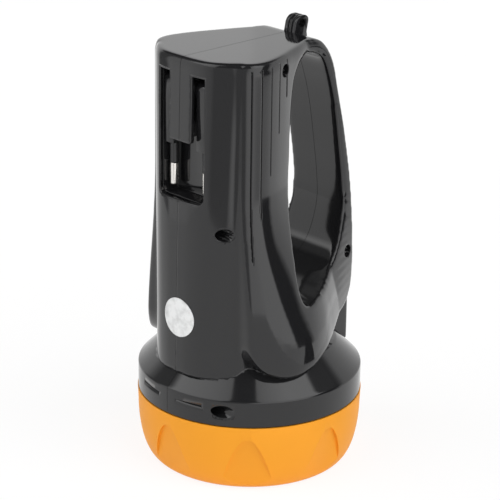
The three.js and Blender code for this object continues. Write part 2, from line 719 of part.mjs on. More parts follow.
// A parabolic bowl with a flange that the bezel presses against the housing.
function reflectorProfile() {
  const holeHeight = reflectorApexHeight - ledHoleRadius ** 2 / bowlScale;
  const inner = [];
  const outer = [];
  for (let i = 0; i <= curveSteps; i += 1) {
    const share = Math.sqrt(i / curveSteps);
    const z = mouthHeight + (holeHeight - mouthHeight) * share;
    inner.push([bowlRadius(z), z]);
    const back = flangeHigh + (holeHeight - flangeHigh) * share;
    outer.unshift([bowlRadius(back) + reflectorWall, back]);
  }
  const crown = reflectorApexHeight + reflectorWall / 2;
  const rim = spigotRadius - reflectorWall / 2;
  return [
    ...inner, [ledHoleRadius, crown], [ledHoleRadius + reflectorWall, crown], ...outer.slice(1), [rim, flangeHigh],
    [rim, flangeHigh - reflectorFlange], [lensRadius, flangeHigh - reflectorFlange * 2], [lensRadius, mouthHeight], inner[0],
  ];
}
addPiece('reflector', revolve(reflectorProfile()), mirrorCoat);

const ledBoardLow = reflectorApexHeight + reflectorWall / 2 + touchGap;
const ledBoardHigh = ledBoardLow + boardThickness;
const heatSinkLow = ledBoardHigh + touchGap;
const heatSinkHigh = heatSinkLow + heatSinkPlate + heatSinkFinHeight;
addPiece('led_board', barAlongZ(0, 0, ledBoardRadius, ledBoardLow, ledBoardHigh, smallSteps * 2), boardWhite);

const emitterHigh = ledBoardLow - touchGap;
const emitterShares = [[1, 0], [1, 0.35], [0.85, 0.65], [0.5, 0.92]];
addPiece('led_emitter', revolve([
  [0, emitterHigh], ...emitterShares.map(([r, drop]) => [r * ledRadius, emitterHigh - drop * ledHeight]), [0, emitterHigh - ledHeight],
], smallSteps * 2), emitterYellow);

function heatSink() {
  const disc = barAlongZ(0, 0, heatSinkRadius, heatSinkLow, heatSinkHigh, smallSteps * 2);
  let fins = block([-reach, -reach, heatSinkLow], [reach, reach, heatSinkLow + heatSinkPlate]);
  for (let i = 0; i < heatSinkFinCount; i += 1) {
    const x = (i - (heatSinkFinCount - 1) / 2) * heatSinkFinPitch;
    fins = fins.add(block([x - heatSinkFinThickness / 2, -reach, heatSinkLow], [x + heatSinkFinThickness / 2, reach, heatSinkHigh]));
  }
  return disc.intersect(fins);
}
addPiece('heat_sink', heatSink(), bareAluminium);

// Liner of the plug recess, plug and pins

function plugBay() {
  const outer = block([bayFront, -bayHalfWidth, recessFloorHeight - bayWall], [bayOuterBack, bayHalfWidth, bayTopHeight + bayWall]);
  const inside = slabAlongX(recessOutline(bayTopHeight), bayFront - overrun, bayBack);
  return outer.subtract(inside).subtract(barAlongY(plugAxisX, plugAxisHeight, axleRadius + axleGap, -reach, reach));
}
addPiece('plug_bay', plugBay(), blackPlastic);

const plugHalfWidth = recessHalfWidth - plugSideGap;
const armInnerWidth = tongueHalfWidth + fitGap;
const pinX = plugAxisX;

// Two arms with round tops, joined by a hub that the axle runs through.
function plugBlock() {
  let plug = barAlongY(plugAxisX, plugAxisHeight, plugArmRadius, -plugHalfWidth, plugHalfWidth, roundSteps / 2);
  for (const side of [-1, 1]) {
    plug = plug.add(block(
      [plugAxisX - plugArmRadius, side * armInnerWidth, plugBottomHeight],
      [plugAxisX + plugArmRadius, side * plugHalfWidth, plugAxisHeight],
    ));
  }
  plug = plug.subtract(barAlongY(plugAxisX, plugAxisHeight, axleRadius + axleGap, -reach, reach));
  for (const side of [-1, 1]) {
    const bore = barAlongZ(pinX, side * pinSpacing / 2, pinCoreRadius + fitGap, plugBottomHeight - overrun, plugBottomHeight + pinRoot + fitGap);
    plug = plug.subtract(bore);
  }
  return plug;
}
addPiece('plug_block', plugBlock(), blackPlastic);
addPiece('plug_axle', barAlongY(plugAxisX, plugAxisHeight, axleRadius, touchGap - bayHalfWidth, bayHalfWidth - touchGap), steel);

for (const [name, side] of [['near', -1], ['far', 1]]) {
  const y = side * pinSpacing / 2;
  const sleeveHigh = plugBottomHeight - touchGap;
  const sleeveLow = plugBottomHeight - sleeveLength;
  const tipHigh = sleeveLow - touchGap;
  const tipLow = plugBottomHeight - pinLength;
  const noseHeight = pinRadius - pinCoreRadius;
  const sleeve = barAlongZ(pinX, y, pinRadius, sleeveLow, sleeveHigh);
  addPiece(`${name}_pin_sleeve`, sleeve.subtract(barAlongZ(pinX, y, pinRadius - sleeveWall, sleeveLow - overrun, sleeveHigh + overrun)), blackPlastic);
  const nose = new THREE.CylinderGeometry(pinRadius, pinCoreRadius, noseHeight, smallSteps);
  nose.rotateX(Math.PI / 2);
  nose.translate(pinX, y, tipLow + noseHeight / 2);
  const tip = barAlongZ(pinX, y, pinRadius, tipLow + noseHeight, tipHigh);
  const core = barAlongZ(pinX, y, pinCoreRadius, tipHigh - noseHeight, plugBottomHeight + pinRoot);
  addPiece(`${name}_plug_pin`, core.add(tip).add(toSolid(nose)), nickel);
  const contactX = bayOuterBack + touchGap;
  const contactHigh = bayTopHeight + bayWall;
  addPiece(`${name}_plug_contact`, block(
    [contactX, y - contactWidth / 2, contactHigh - contactLength],
    [contactX + contactThickness, y + contactWidth / 2, contactHigh],
  ), brass);
}

// Battery, charger board and what stands on them

addPiece('battery', block([batteryX, -batteryWidth / 2, batteryFloorHeight], [batteryX + batteryDepth, batteryWidth / 2, batteryTop]), batteryGrey);
for (const [name, side] of [['near', -1], ['far', 1]]) {
  const y = side * terminalSpacing / 2;
  const low = batteryTop - terminalHeight * 2;
  addPiece(`${name}_terminal`, block(
    [batteryX - touchGap - terminalThickness, y - terminalWidth / 2, low],
    [batteryX - touchGap, y + terminalWidth / 2, low + terminalHeight],
  ), nickel);
}

function onBoard({ depth, width, heightShare }, { across, riseShare }) {
  const low = chargerFloorHeight + riseShare * chargerHeight;
  return block(
    [chargerFace + touchGap, across - width / 2, low],
    [chargerFace + touchGap + depth, across + width / 2, low + heightShare * chargerHeight],
  );
}
addPiece('charger_board', block([chargerX, -chargerHalf, chargerFloorHeight], [chargerFace, chargerHalf, chargerFloorHeight + chargerHeight]), boardGreen);
addPiece('charger_capacitor', onBoard(capacitorSize, capacitorPlace), filmBlue);
addPiece('charger_rectifier', onBoard(rectifierSize, rectifierPlace), blackRubber);

// Slide switch

function switchKnob() {
  const padLow = switchFloorX + fitGap;
  const padHigh = padLow + knobRise;
  const pad = block([padLow, -knobWidth / 2, switchHeight - knobHeight / 2], [padHigh, knobWidth / 2, switchHeight + knobHeight / 2]);
  const stem = block([switchBodyFront + fitGap, -stemWidth / 2, switchHeight - stemHeight / 2], [padLow + knobRise / 2, stemWidth / 2, switchHeight + stemHeight / 2]);
  const pitch = knobHeight / (knobRibCount + 1);
  let knob = pad.add(stem);
  for (let i = 1; i <= knobRibCount; i += 1) {
    const z = switchHeight - knobHeight / 2 + i * pitch;
    knob = knob.subtract(block([padHigh - knobRibDepth, -knobWidth, z - pitch / 4], [padHigh + overrun, knobWidth, z + pitch / 4]));
  }
  return knob;
}
addPiece('switch_knob', switchKnob(), blackPlastic);
addPiece('switch_body', block(
  [switchBodyBack, -switchBodySize.width / 2, switchMiddle - switchBodySize.height / 2],
  [switchBodyFront, switchBodySize.width / 2, switchMiddle + switchBodySize.height / 2],
), blackRubber);

// A thin round seal that follows the curve of the body

function sticker() {
  const heights = skinShares.map((share) => stickerHeight + share * (stickerRadius + overrun));
  const skin = (distance) => loft(heights.map((z) => bodySection(z, -distance)));
  const disc = barAlongX(-stickerAcross, stickerHeight, stickerRadius, -reach, -bodyReach / 2, smallSteps * 2);
  return skin(touchGap + stickerThickness).subtract(skin(touchGap)).intersect(disc);
}
addPiece('seal_sticker', sticker(), silverFoil);

export default lamp;
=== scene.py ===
"""A rechargeable hand lamp with a loop handle and a fold-out mains plug.

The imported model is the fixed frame. The lamp stands face down on its bezel, +X points to
the grip, the plug is on the -X side and the halves of the case meet on the plane Y = 0.
Sizes are written in millimetres and every mesh is made in metres.
"""
import logging
import math
from collections.abc import Callable, Iterable, Iterator, Sequence
from contextlib import contextmanager
from dataclasses import dataclass, field
from enum import Enum

import bpy
from mathutils import Matrix, Vector
from mathutils.kdtree import KDTree


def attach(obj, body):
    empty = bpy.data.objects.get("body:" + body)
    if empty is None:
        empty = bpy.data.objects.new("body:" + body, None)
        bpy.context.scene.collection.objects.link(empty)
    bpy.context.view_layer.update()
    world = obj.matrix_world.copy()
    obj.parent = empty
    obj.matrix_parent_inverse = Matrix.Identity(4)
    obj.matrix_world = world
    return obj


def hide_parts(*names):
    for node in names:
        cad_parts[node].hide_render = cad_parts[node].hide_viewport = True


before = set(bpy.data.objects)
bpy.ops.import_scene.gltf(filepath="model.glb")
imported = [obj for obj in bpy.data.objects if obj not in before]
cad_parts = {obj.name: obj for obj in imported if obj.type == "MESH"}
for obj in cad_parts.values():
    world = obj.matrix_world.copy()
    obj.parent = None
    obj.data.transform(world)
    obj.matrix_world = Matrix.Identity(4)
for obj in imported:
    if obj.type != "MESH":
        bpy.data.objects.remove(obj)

MM = 0.001
# A place clear of the lamp on every side, in millimetres.
CLEAR = 70.0
LOG = logging.getLogger("hand_lamp")
Piece = bpy.types.Object
Pair = tuple[float, float]
Triple = tuple[float, float, float]
Colour = tuple[float, float, float]
Outline = Sequence[Pair]
Sockets = dict[int | str, object]
# A rounding's width, its segments, and the angle in degrees above which an edge gets it.
Rounding = tuple[float, int, float]


class Axis(Enum):
    """The axis that a cutter enters the case along."""

    X = 0
    Y = 1


class Side(Enum):
    """A half of the lamp, with the sign of its Y."""

    NEAR = -1
    FAR = 1


# Curves and outlines


def eased(share: float) -> float:
    """A share from 0 to 1 with a soft start and end."""
    share = min(max(share, 0.0), 1.0)
    return share * share * (3 - 2 * share)


def flowing(points: Outline, steps: int, closed: bool) -> list[Pair]:
    """A centripetal curve through points.

    Args:
        points: The points that the curve passes through.
        steps: How many stretches the curve is cut into.
        closed: True where the end joins the start.

    Returns:
        The points along the curve, without a repeated last point where it is closed.
    """
    count = len(points)
    found: list[Pair] = []
    for step in range(steps + (0 if closed else 1)):
        place = (count if closed else count - 1) * step / steps
        index = int(place)
        share = place - index
        if not closed and index == count - 1:
            index, share = count - 2, 1.0
        if closed:
            p0, p1, p2, p3 = (points[(index + i) % count] for i in (-1, 0, 1, 2))
        else:
            p1, p2 = points[index], points[index + 1]
            p0 = points[index - 1] if index > 0 else tuple(2 * a - b for a, b in zip(p1, p2))
            p3 = points[index + 2] if index + 2 < count else tuple(2 * a - b for a, b in zip(p2, p1))
        d1 = math.dist(p1, p2) ** 0.5
        d0 = math.dist(p0, p1) ** 0.5 or d1
        d2 = math.dist(p2, p3) ** 0.5 or d1
        value = []
        for a, b, c, d in zip(p0, p1, p2, p3):
            t1 = ((b - a) / d0 - (c - a) / (d0 + d1) + (c - b) / d1) * d1
            t2 = ((c - b) / d1 - (d - b) / (d1 + d2) + (d - c) / d2) * d1
            value.append(b + share * (t1 + share * (3 * (c - b) - 2 * t1 - t2 + share * (2 * (b - c) + t1 + t2))))
        found.append((value[0], value[1]))
    return found


def drawn_in(points: Outline, distance: float) -> list[Pair]:
    """A closed outline with each corner moved inward, or outward for a negative distance.

    Args:
        points: The closed outline.
        distance: How far each corner moves.

    Returns:
        The new outline.
    """
    if distance == 0:
        return list(points)
    count = len(points)
    area = sum(a * d - c * b for (a, b), (c, d) in zip(points, [*points[1:], points[0]]))
    side = distance * math.copysign(1, area)
    found = []
    for i, here in enumerate(points):
        before = (Vector(here) - Vector(points[i - 1])).normalized()
        after = (Vector(points[(i + 1) % count]) - Vector(here)).normalized()
        turn = Vector((-(before.y + after.y), before.x + after.x)).normalized()
        stretch = side / max(math.sqrt(max((1 + before.dot(after)) / 2, 0)), math.sqrt(0.5))
        found.append((here[0] + turn.x * stretch, here[1] + turn.y * stretch))
    return found


def both_sides(points: Outline) -> list[Pair]:
    """A half outline with its mirror image across the seam."""
    return [*points, *[(x, -y) for x, y in reversed(points) if y != 0]]


def blended(first: Outline, second: Outline, share: float) -> list[Pair]:
    """Points between two lists of points."""
    return [(a + (c - a) * share, b + (d - b) * share) for (a, b), (c, d) in zip(first, second)]


def arc(centre: Pair, radius: float, start: float, end: float, steps: int) -> list[Pair]:
    """Points along an arc, with its angles in degrees."""
    angles = [math.radians(start + (end - start) * i / steps) for i in range(steps + 1)]
    return [(centre[0] + radius * math.cos(a), centre[1] + radius * math.sin(a)) for a in angles]


def filled(points: Outline, stride: float) -> list[Pair]:
    """A closed outline with points added, so that none of its runs is longer than a stride.

    Args:
        points: The closed outline.
        stride: The longest run that is left.

    Returns:
        The new outline.
    """
    found: list[Pair] = []
    for here, ahead in zip(points, [*points[1:], points[0]]):
        parts = max(math.ceil(math.dist(here, ahead) / stride), 1)
        step_x, step_y = ahead[0] - here[0], ahead[1] - here[1]
        found += [(here[0] + step_x * i / parts, here[1] + step_y * i / parts) for i in range(parts)]
    return found


# The modelling bench


def take(piece: Piece) -> None:
    """Selects one object alone and makes it active."""
    bpy.ops.object.select_all(action="DESELECT")
    piece.select_set(True)
    bpy.context.view_layer.objects.active = piece


@contextmanager
def editing(piece: Piece) -> Iterator[None]:
    """Edit mode on one object, with everything selected."""
    take(piece)
    bpy.ops.object.mode_set(mode="EDIT")
    bpy.ops.mesh.select_all(action="SELECT")
    try:
        yield
    finally:
        bpy.ops.object.mode_set(mode="OBJECT")


def settled(name: str) -> Piece:
    """Names the active object and puts its place into its mesh.

    Args:
        name: The name of the object and its mesh.

    Returns:
        The active object.
    """
    piece = bpy.context.view_layer.objects.active
    piece.name = name
    piece.data.name = name
    take(piece)
    bpy.ops.object.transform_apply(location=True, rotation=True, scale=True)
    return piece


def block(name: str, low: Triple, high: Triple) -> Piece:
    """A box between two corners in millimetres.

    Args:
        name: The object's name.
        low: Its lowest corner.
        high: Its highest corner.

    Returns:
        The new object.
    """
    bpy.ops.object.select_all(action="DESELECT")
    centre = [(a + b) / 2 * MM for a, b in zip(low, high)]
    size = [abs(b - a) * MM for a, b in zip(low, high)]
    bpy.ops.mesh.primitive_cube_add(size=1, location=centre, scale=size)
    return settled(name)


def bar(name: str, centre: Pair, radius: float, low: float, high: float, sides: int) -> Piece:
    """A round bar along Y.

    Args:
        name: The object's name.
        centre: Its X and Z in millimetres.
        radius: Its radius in millimetres.
        low: Where it starts.
        high: Where it ends.
        sides: How many sides stand for its round.

    Returns:
        The new object.
    """
    place = (centre[0], (low + high) / 2, centre[1])
    bpy.ops.object.select_all(action="DESELECT")
    bpy.ops.mesh.primitive_cylinder_add(
        vertices=sides, radius=radius * MM, depth=(high - low) * MM, location=[v * MM for v in place],
        rotation=(math.pi / 2, 0, 0),
    )
    return settled(name)


def skin(
    name: str, points: Sequence[Triple], faces: Sequence[Sequence[int]], edges: Sequence[tuple[int, int]] = (),
) -> Piece:
    """A mesh from points in millimetres, with its faces turned outwards.

    Args:
        name: The object's name.
        points: The places of its vertices.
        faces: Its faces, as numbers of points.
        edges: Its loose edges, as numbers of points.

    Returns:
        The new object.
    """
    mesh = bpy.data.meshes.new(name)
    mesh.from_pydata([Vector(p) * MM for p in points], list(edges), [list(f) for f in faces])
    piece = bpy.data.objects.new(name, mesh)
    bpy.context.collection.objects.link(piece)
    if faces:
        with editing(piece):
            bpy.ops.mesh.normals_make_consistent(inside=False)
    return piece


def ringed(name: str, rings: Sequence[Sequence[Triple]]) -> Piece:
    """A solid through closed rings of as many points each, with both ends closed.

    Args:
        name: The object's name.
        rings: The rings, from one end to the other.

    Returns:
        The new object.
    """
    count, last = len(rings[0]), len(rings) - 1
    faces = [range(count), range(last * count, (last + 1) * count)]
    for level in range(last):
        for i in range(count):
            a, b = level * count + i, level * count + (i + 1) % count
            faces.append((a, b, b + count, a + count))
    return skin(name, [point for ring in rings for point in ring], faces)


def slab(name: str, outline: Outline, low: float = -CLEAR, high: float = CLEAR) -> Piece:
    """An outline from the side, pushed along Y between two places.

    Args:
        name: The object's name.
        outline: The outline's X and Z.
        low: The Y that it starts at.
        high: The Y that it ends at.

    Returns:
        The new object.
    """
    piece = skin(name, [(x, low, z) for x, z in outline], [range(len(outline))])
    with editing(piece):
        bpy.ops.mesh.extrude_region_move(TRANSFORM_OT_translate={"value": (0, (high - low) * MM, 0)})
        bpy.ops.mesh.select_all(action="SELECT")
        bpy.ops.mesh.normals_make_consistent(inside=False)
    return piece


def turned(name: str, profile: Outline, steps: int) -> Piece:
    """A profile of radius and height spun about the lamp's axis.

    Args:
        name: The object's name.
        profile: Radius and height along the profile.
        steps: How many steps a full turn has.

    Returns:
        The new object.
    """
    points = [(r, 0.0, z) for r, z in profile]
    piece = skin(name, points, [], [(i, i + 1) for i in range(len(points) - 1)])
    with editing(piece):
        bpy.ops.mesh.spin(steps=steps, angle=2 * math.pi, center=(0, 0, 0), axis=(0, 0, 1))
        bpy.ops.mesh.select_all(action="SELECT")
        bpy.ops.mesh.remove_doubles(threshold=1e-6)
        bpy.ops.mesh.normals_make_consistent(inside=False)
    return piece


def finish_with(piece: Piece, kind: str, **settings: object) -> None:
    """Adds one modifier, sets it and applies it.

    Args:
        piece: The object.
        kind: The modifier's type.
        settings: The modifier's settings.
    """
    modifier = piece.modifiers.new(kind.title(), kind)
    for key, value in settings.items():
        setattr(modifier, key, value)
    take(piece)
    bpy.ops.object.modifier_apply(modifier=modifier.name)


def combine(piece: Piece, others: Iterable[Piece], operation: str, keep: bool = False) -> Piece:
    """Joins, cuts or crosses a solid with others.

    Args:
        piece: The solid that is changed.
        others: The solids that it is combined with.
        operation: UNION, DIFFERENCE or INTERSECT.
        keep: True where the others are used again.

    Returns:
        The changed solid.
    """
    for other in others:
        finish_with(piece, "BOOLEAN", operation=operation, object=other, solver="MANIFOLD")
        if not keep:
            discard(other)
    return piece


def discard(piece: Piece) -> None:
    """Removes a helper object and its mesh."""
    mesh = piece.data
    bpy.data.objects.remove(piece)
    if mesh.users == 0:
        bpy.data.meshes.remove(mesh)


def duplicate(piece: Piece, name: str) -> Piece:
    """A copy of an object with its own mesh.

    Args:
        piece: The object that is copied.
        name: The copy's name.

    Returns:
        The copy.
    """
    twin = bpy.data.objects.new(name, piece.data.copy())
    twin.data.name = name
    twin.data.materials.clear()
    twin.matrix_world = piece.matrix_world.copy()
    bpy.context.collection.objects.link(twin)
    return twin


def from_node(node: str, name: str) -> Piece:
    """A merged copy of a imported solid, in one frame with it.

    Args:
        node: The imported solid.
        name: The copy's name.

    Returns:
        The copy.
    """
    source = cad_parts[node]
    twin = duplicate(source, name)
    twin.data.transform(source.matrix_world)
    twin.matrix_world = Matrix()
    with editing(twin):
        bpy.ops.mesh.remove_doubles(threshold=2e-6)
        bpy.ops.mesh.normals_make_consistent(inside=False)
    return twin


def soften(piece: Piece, width: float, segments: int, above: float = 30) -> Piece:
    """Rounds every edge that is sharper than an angle in degrees.

    Args:
        piece: The object.
        width: The rounding's width in millimetres.
        segments: How many segments it has.
        above: The angle.

    Returns:
        The object.
    """
    finish_with(
        piece, "BEVEL", width=width * MM, segments=segments, limit_method="ANGLE", angle_limit=math.radians(above),
        use_clamp_overlap=True, harden_normals=False, miter_outer="MITER_ARC",
    )
    return piece


def smooth_look(piece: Piece, angle: float) -> Piece:
    """Smooth shading that keeps the edges sharper than an angle in degrees."""
    take(piece)
    bpy.ops.object.shade_smooth_by_angle(angle=math.radians(angle), keep_sharp_edges=False)
    return piece


def softened(node: str, name: str, rounding: Rounding, look: float) -> Piece:
    """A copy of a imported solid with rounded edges.

    Args:
        node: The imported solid.
        name: The new object's name.
        rounding: How its edges are rounded.
        look: The angle up to which the shading is smooth.

    Returns:
        The new object.
    """
    piece = from_node(node, name)
    with editing(piece):
        bpy.ops.mesh.dissolve_limited(angle_limit=math.radians(1))
    return smooth_look(soften(piece, *rounding), look)


# The case: its outlines and the solids that it is cut from


@dataclass
class CaseForm:
    """The outer form of the lamp's case, in millimetres and in shares of its main sizes."""

    height: float = 194
    head_radius: float = 51
    handle_reach: float = 50.6
    body_reach: float = 43.2
    body_half: float = 32
    grip_half: float = 15.5
    wall: float = 2.2
    bezel_height: float = 32
    collar_top: float = 43.6
    shoulder_rise: float = 12.4
    spigot_foot: float = 18
    spigot_radius: float = 47.7
    top_edge: float = 2
    top_drop: float = 4
    collar_share: float = 0.994
    shoulder_share: float = 0.755
    foot_share: float = 0.3
    cheek_share: float = 0.72
    column_foot: float = 50.44
    spine_start: float = 25.3
    spine_top: float = 89.6
    neck_radius: float = 18.9
    room_radius: float = 45.3
    curve_steps: int = 56
    levels: int = 40
    body_top: tuple[Pair, ...] = (
        (-1, 0), (-0.994, 0.28), (-0.965, 0.485), (-0.885, 0.66), (-0.77, 0.825), (-0.62, 0.9), (-0.38, 0.88),
    )
    body_foot: tuple[Pair, ...] = (
        (-1.06, 0), (-1.053, 0.19), (-1.018, 0.375), (-0.956, 0.525), (-0.873, 0.655), (-0.765, 0.8), (-0.38, 0.88),
    )
    cheek_top: tuple[Pair, ...] = (
        (-0.768, 0.86), (-0.67, 0.962), (-0.545, 0.995), (-0.395, 0.965), (-0.2, 0.885), (0, 0.775), (0.195, 0.665),
        (0.36, 0.558),
    )
    cheek_foot: tuple[Pair, ...] = (
        (-0.75, 1.05), (-0.6, 1.205), (-0.44, 1.315), (-0.265, 1.37), (-0.04, 1.357), (0.215, 1.24), (0.475, 1.03),
        (0.77, 0.772),
    )
    grip_edge: tuple[Pair, ...] = (
        (0.405, 1), (0.51, 0.9895), (0.6, 0.965), (0.665, 0.934), (0.715, 0.892), (0.78, 0.825), (0.855, 0.74),
        (0.93, 0.64), (0.975, 0.54), (0.993, 0.47), (0.994, 0.42), (0.96, 0.372), (0.87, 0.345), (0.68, 0.329),
        (0.42, 0.31), (0.18, 0.295), (-0.03, 0.278), (-0.23, 0.2675), (-0.39, 0.271), (-0.53, 0.288),
        (-0.62, 0.325), (-0.66, 0.385),
    )
    loop: tuple[Pair, ...] = (
        (0.36, 0.9695), (0.2, 0.966), (0.1, 0.953), (0.03, 0.93), (-0.012, 0.89), (-0.04, 0.83), (-0.056, 0.75),
        (-0.07, 0.69), (-0.1, 0.625), (-0.13, 0.565), (-0.15, 0.51), (-0.153, 0.475), (-0.13, 0.44), (-0.07, 0.4225),
        (0.05, 0.426), (0.2, 0.43), (0.36, 0.4365), (0.52, 0.448), (0.63, 0.465), (0.72, 0.492), (0.785, 0.53),
        (0.828, 0.58), (0.812, 0.645), (0.772, 0.715), (0.705, 0.815), (0.62, 0.895), (0.52, 0.948),
    )
    shoulder_edge: float = 1.5
    shoulder_slope: float = 45.5

    @property
    def collar_radius(self) -> float:
        """The radius of the collar's wall."""
        return self.collar_share * self.head_radius

    def fall(self, z: float, start: float, end: float) -> float:
        """How far down a height lies between two shares of the lamp's height."""
        return min(max((start * self.height - z) / ((start - end) * self.height), 0), 1)

    def half_section(self, top: Outline, foot: Outline, share: float) -> list[Pair]:
        """Half a plan between the shares of a top and a foot, from the back seam round the near side."""
        shares = blended(top, foot, share)
        return flowing([(u * self.body_reach, -v * self.body_half) for u, v in shares], self.curve_steps, False)

    def body_section(self, z: float, depth: float = 0) -> list[Pair]:
        """The plan of the body's column at a height, drawn in by a depth."""
        side = self.half_section(self.body_top, self.body_foot, self.fall(z, 1, self.foot_share))
        return drawn_in(both_sides([(side[0][0], 0.0), *side[1:]]), depth)

    def cheek_section(self, z: float, depth: float = 0) -> list[Pair]:
        """The plan of the side cheeks and the grip at a height, drawn in by a depth.

        Args:
            z: The height.
            depth: How far it is drawn in.

        Returns:
            The plan's outline.
        """
        share = eased(self.fall(z, self.cheek_share, self.foot_share))
        side = self.half_section(self.cheek_top, self.cheek_foot, share)
        side += [(self.handle_reach, -self.grip_half), (self.handle_reach + 6, -self.grip_half)]
        return drawn_in(both_sides(side), depth)

    def column(self, name: str, section: Callable[[float, float], list[Pair]], foot: float, depth: float) -> Piece:
        """A solid of plan sections, rounded at its top where it isn't drawn in.

        Args:
            name: The solid's name.
            section: The method that gives the plan at a height.
            foot: The height that it starts at.
            depth: How far the plan is drawn in.

        Returns:
            The new solid.
        """
        rise = self.height - (depth or self.top_drop) - foot
        places = [(foot + rise * i / self.levels, depth) for i in range(self.levels + 1)]
        if depth == 0:
            for turn in range(9, 91, 9):
                a = math.radians(turn)
                places.append((self.height - self.top_drop * (1 - math.sin(a)), self.top_edge * (1 - math.cos(a))))
        return ringed(name, [[(x, y, z) for x, y in section(z, inward)] for z, inward in places])

    def scaled(self, shares: Outline) -> list[Pair]:
        """Shares of the handle's reach and the lamp's height as places."""
        return [(u * self.handle_reach, v * self.height) for u, v in shares]

    def side_outline(self) -> list[Pair]:
        """The outline of the cheeks and the grip from the side."""
        edge = flowing(self.scaled(self.grip_edge), 200, False)
        back = -0.8 * self.handle_reach
        return [(back, self.height), *edge, (back, edge[-1][1])]

    def loop_outline(self) -> list[Pair]:
        """The outline of the hand's loop from the side."""
        return flowing(self.scaled(self.loop), 180, True)

    def shoulder_profile(self) -> list[Pair]:
        """Radius and height up the shoulder: a rounded edge, and a straight cone."""
        edge, slope, steps = self.shoulder_edge, math.radians(self.shoulder_slope), 12
        bend = arc((self.collar_radius - edge, self.collar_top), edge, 0, self.shoulder_slope, 8)
        reach, foot = bend[-1]
        rises = [(self.collar_top + self.shoulder_rise - foot) * i / steps for i in range(1, steps + 1)]
        return bend + [(reach - rise * math.tan(slope), foot + rise) for rise in rises]

    def with_spine(self, name: str, form: Piece, cheeks: Piece, wall: float, foot: float) -> Piece:
        """Joins the cheeks and the grip's foot to the column, and cuts the hand's loop.

        Args:
            name: What the helpers' names start with.
            form: The body's column.
            cheeks: The cheeks' column.
            wall: How far the outlines are drawn in.
            foot: The height that the spine starts at.

        Returns:
            The changed column.
        """
        combine(cheeks, [slab(f"{name}_side", drawn_in(self.side_outline(), wall))], "INTERSECT")
        half = self.grip_half - self.wall - wall
        reach = self.handle_reach - (wall or 0.1)
        spine = block(f"{name}_spine", (self.spine_start, -half, foot), (reach, half, self.spine_top))
        combine(form, [cheeks, spine], "UNION")
        return combine(form, [slab(f"{name}_loop", drawn_in(self.loop_outline(), -wall))], "DIFFERENCE")

    def outer(self) -> Piece:
        """The case's outer form as one solid, without its head and its recess."""
        form = self.column("case_form", self.body_section, self.column_foot, 0)
        cheeks = self.column("cheeks", self.cheek_section, self.collar_top, 0)
        return self.with_spine("outer", form, cheeks, 0, self.collar_top)

    def head(self) -> Piece:
        """The turned head: spigot, collar and shoulder."""
        top = self.collar_top + self.shoulder_rise + self.wall
        shoulder = self.shoulder_profile()
        low, reach = self.bezel_height + 0.3, shoulder[0][0]
        wall = [(reach, low + (self.collar_top - low) * share) for share in (0, 0.05, 0.25, 0.5, 0.75, 0.95)]
        return turned("head_form", [
            (0, self.spigot_foot), (self.spigot_radius, self.spigot_foot), (self.spigot_radius, low),
            *wall, *shoulder, (self.neck_radius, top), (0, top),
        ], 220)

    def inner(self) -> Piece:
        """The room inside the case's walls."""
        wall, top, foot = self.wall, self.collar_top + self.shoulder_rise, self.spigot_foot - 6
        middle = top - self.shoulder_rise / 2
        room = self.column("room", self.body_section, middle, wall)
        cheeks = self.column("cheek_room", self.cheek_section, self.collar_top, wall)
        self.with_spine("inner", room, cheeks, wall, middle)
        rise = [(r - wall, z - wall / 2) for r, z in self.shoulder_profile()[8:] if z - wall / 2 < top - wall]
        head = turned("head_room", [
            (0, foot), (self.room_radius, foot), (self.room_radius, self.collar_top), *rise,
            (self.head_radius * self.shoulder_share - wall, top - wall), (0, top - wall),
        ], 96)
        return combine(room, [head], "UNION")


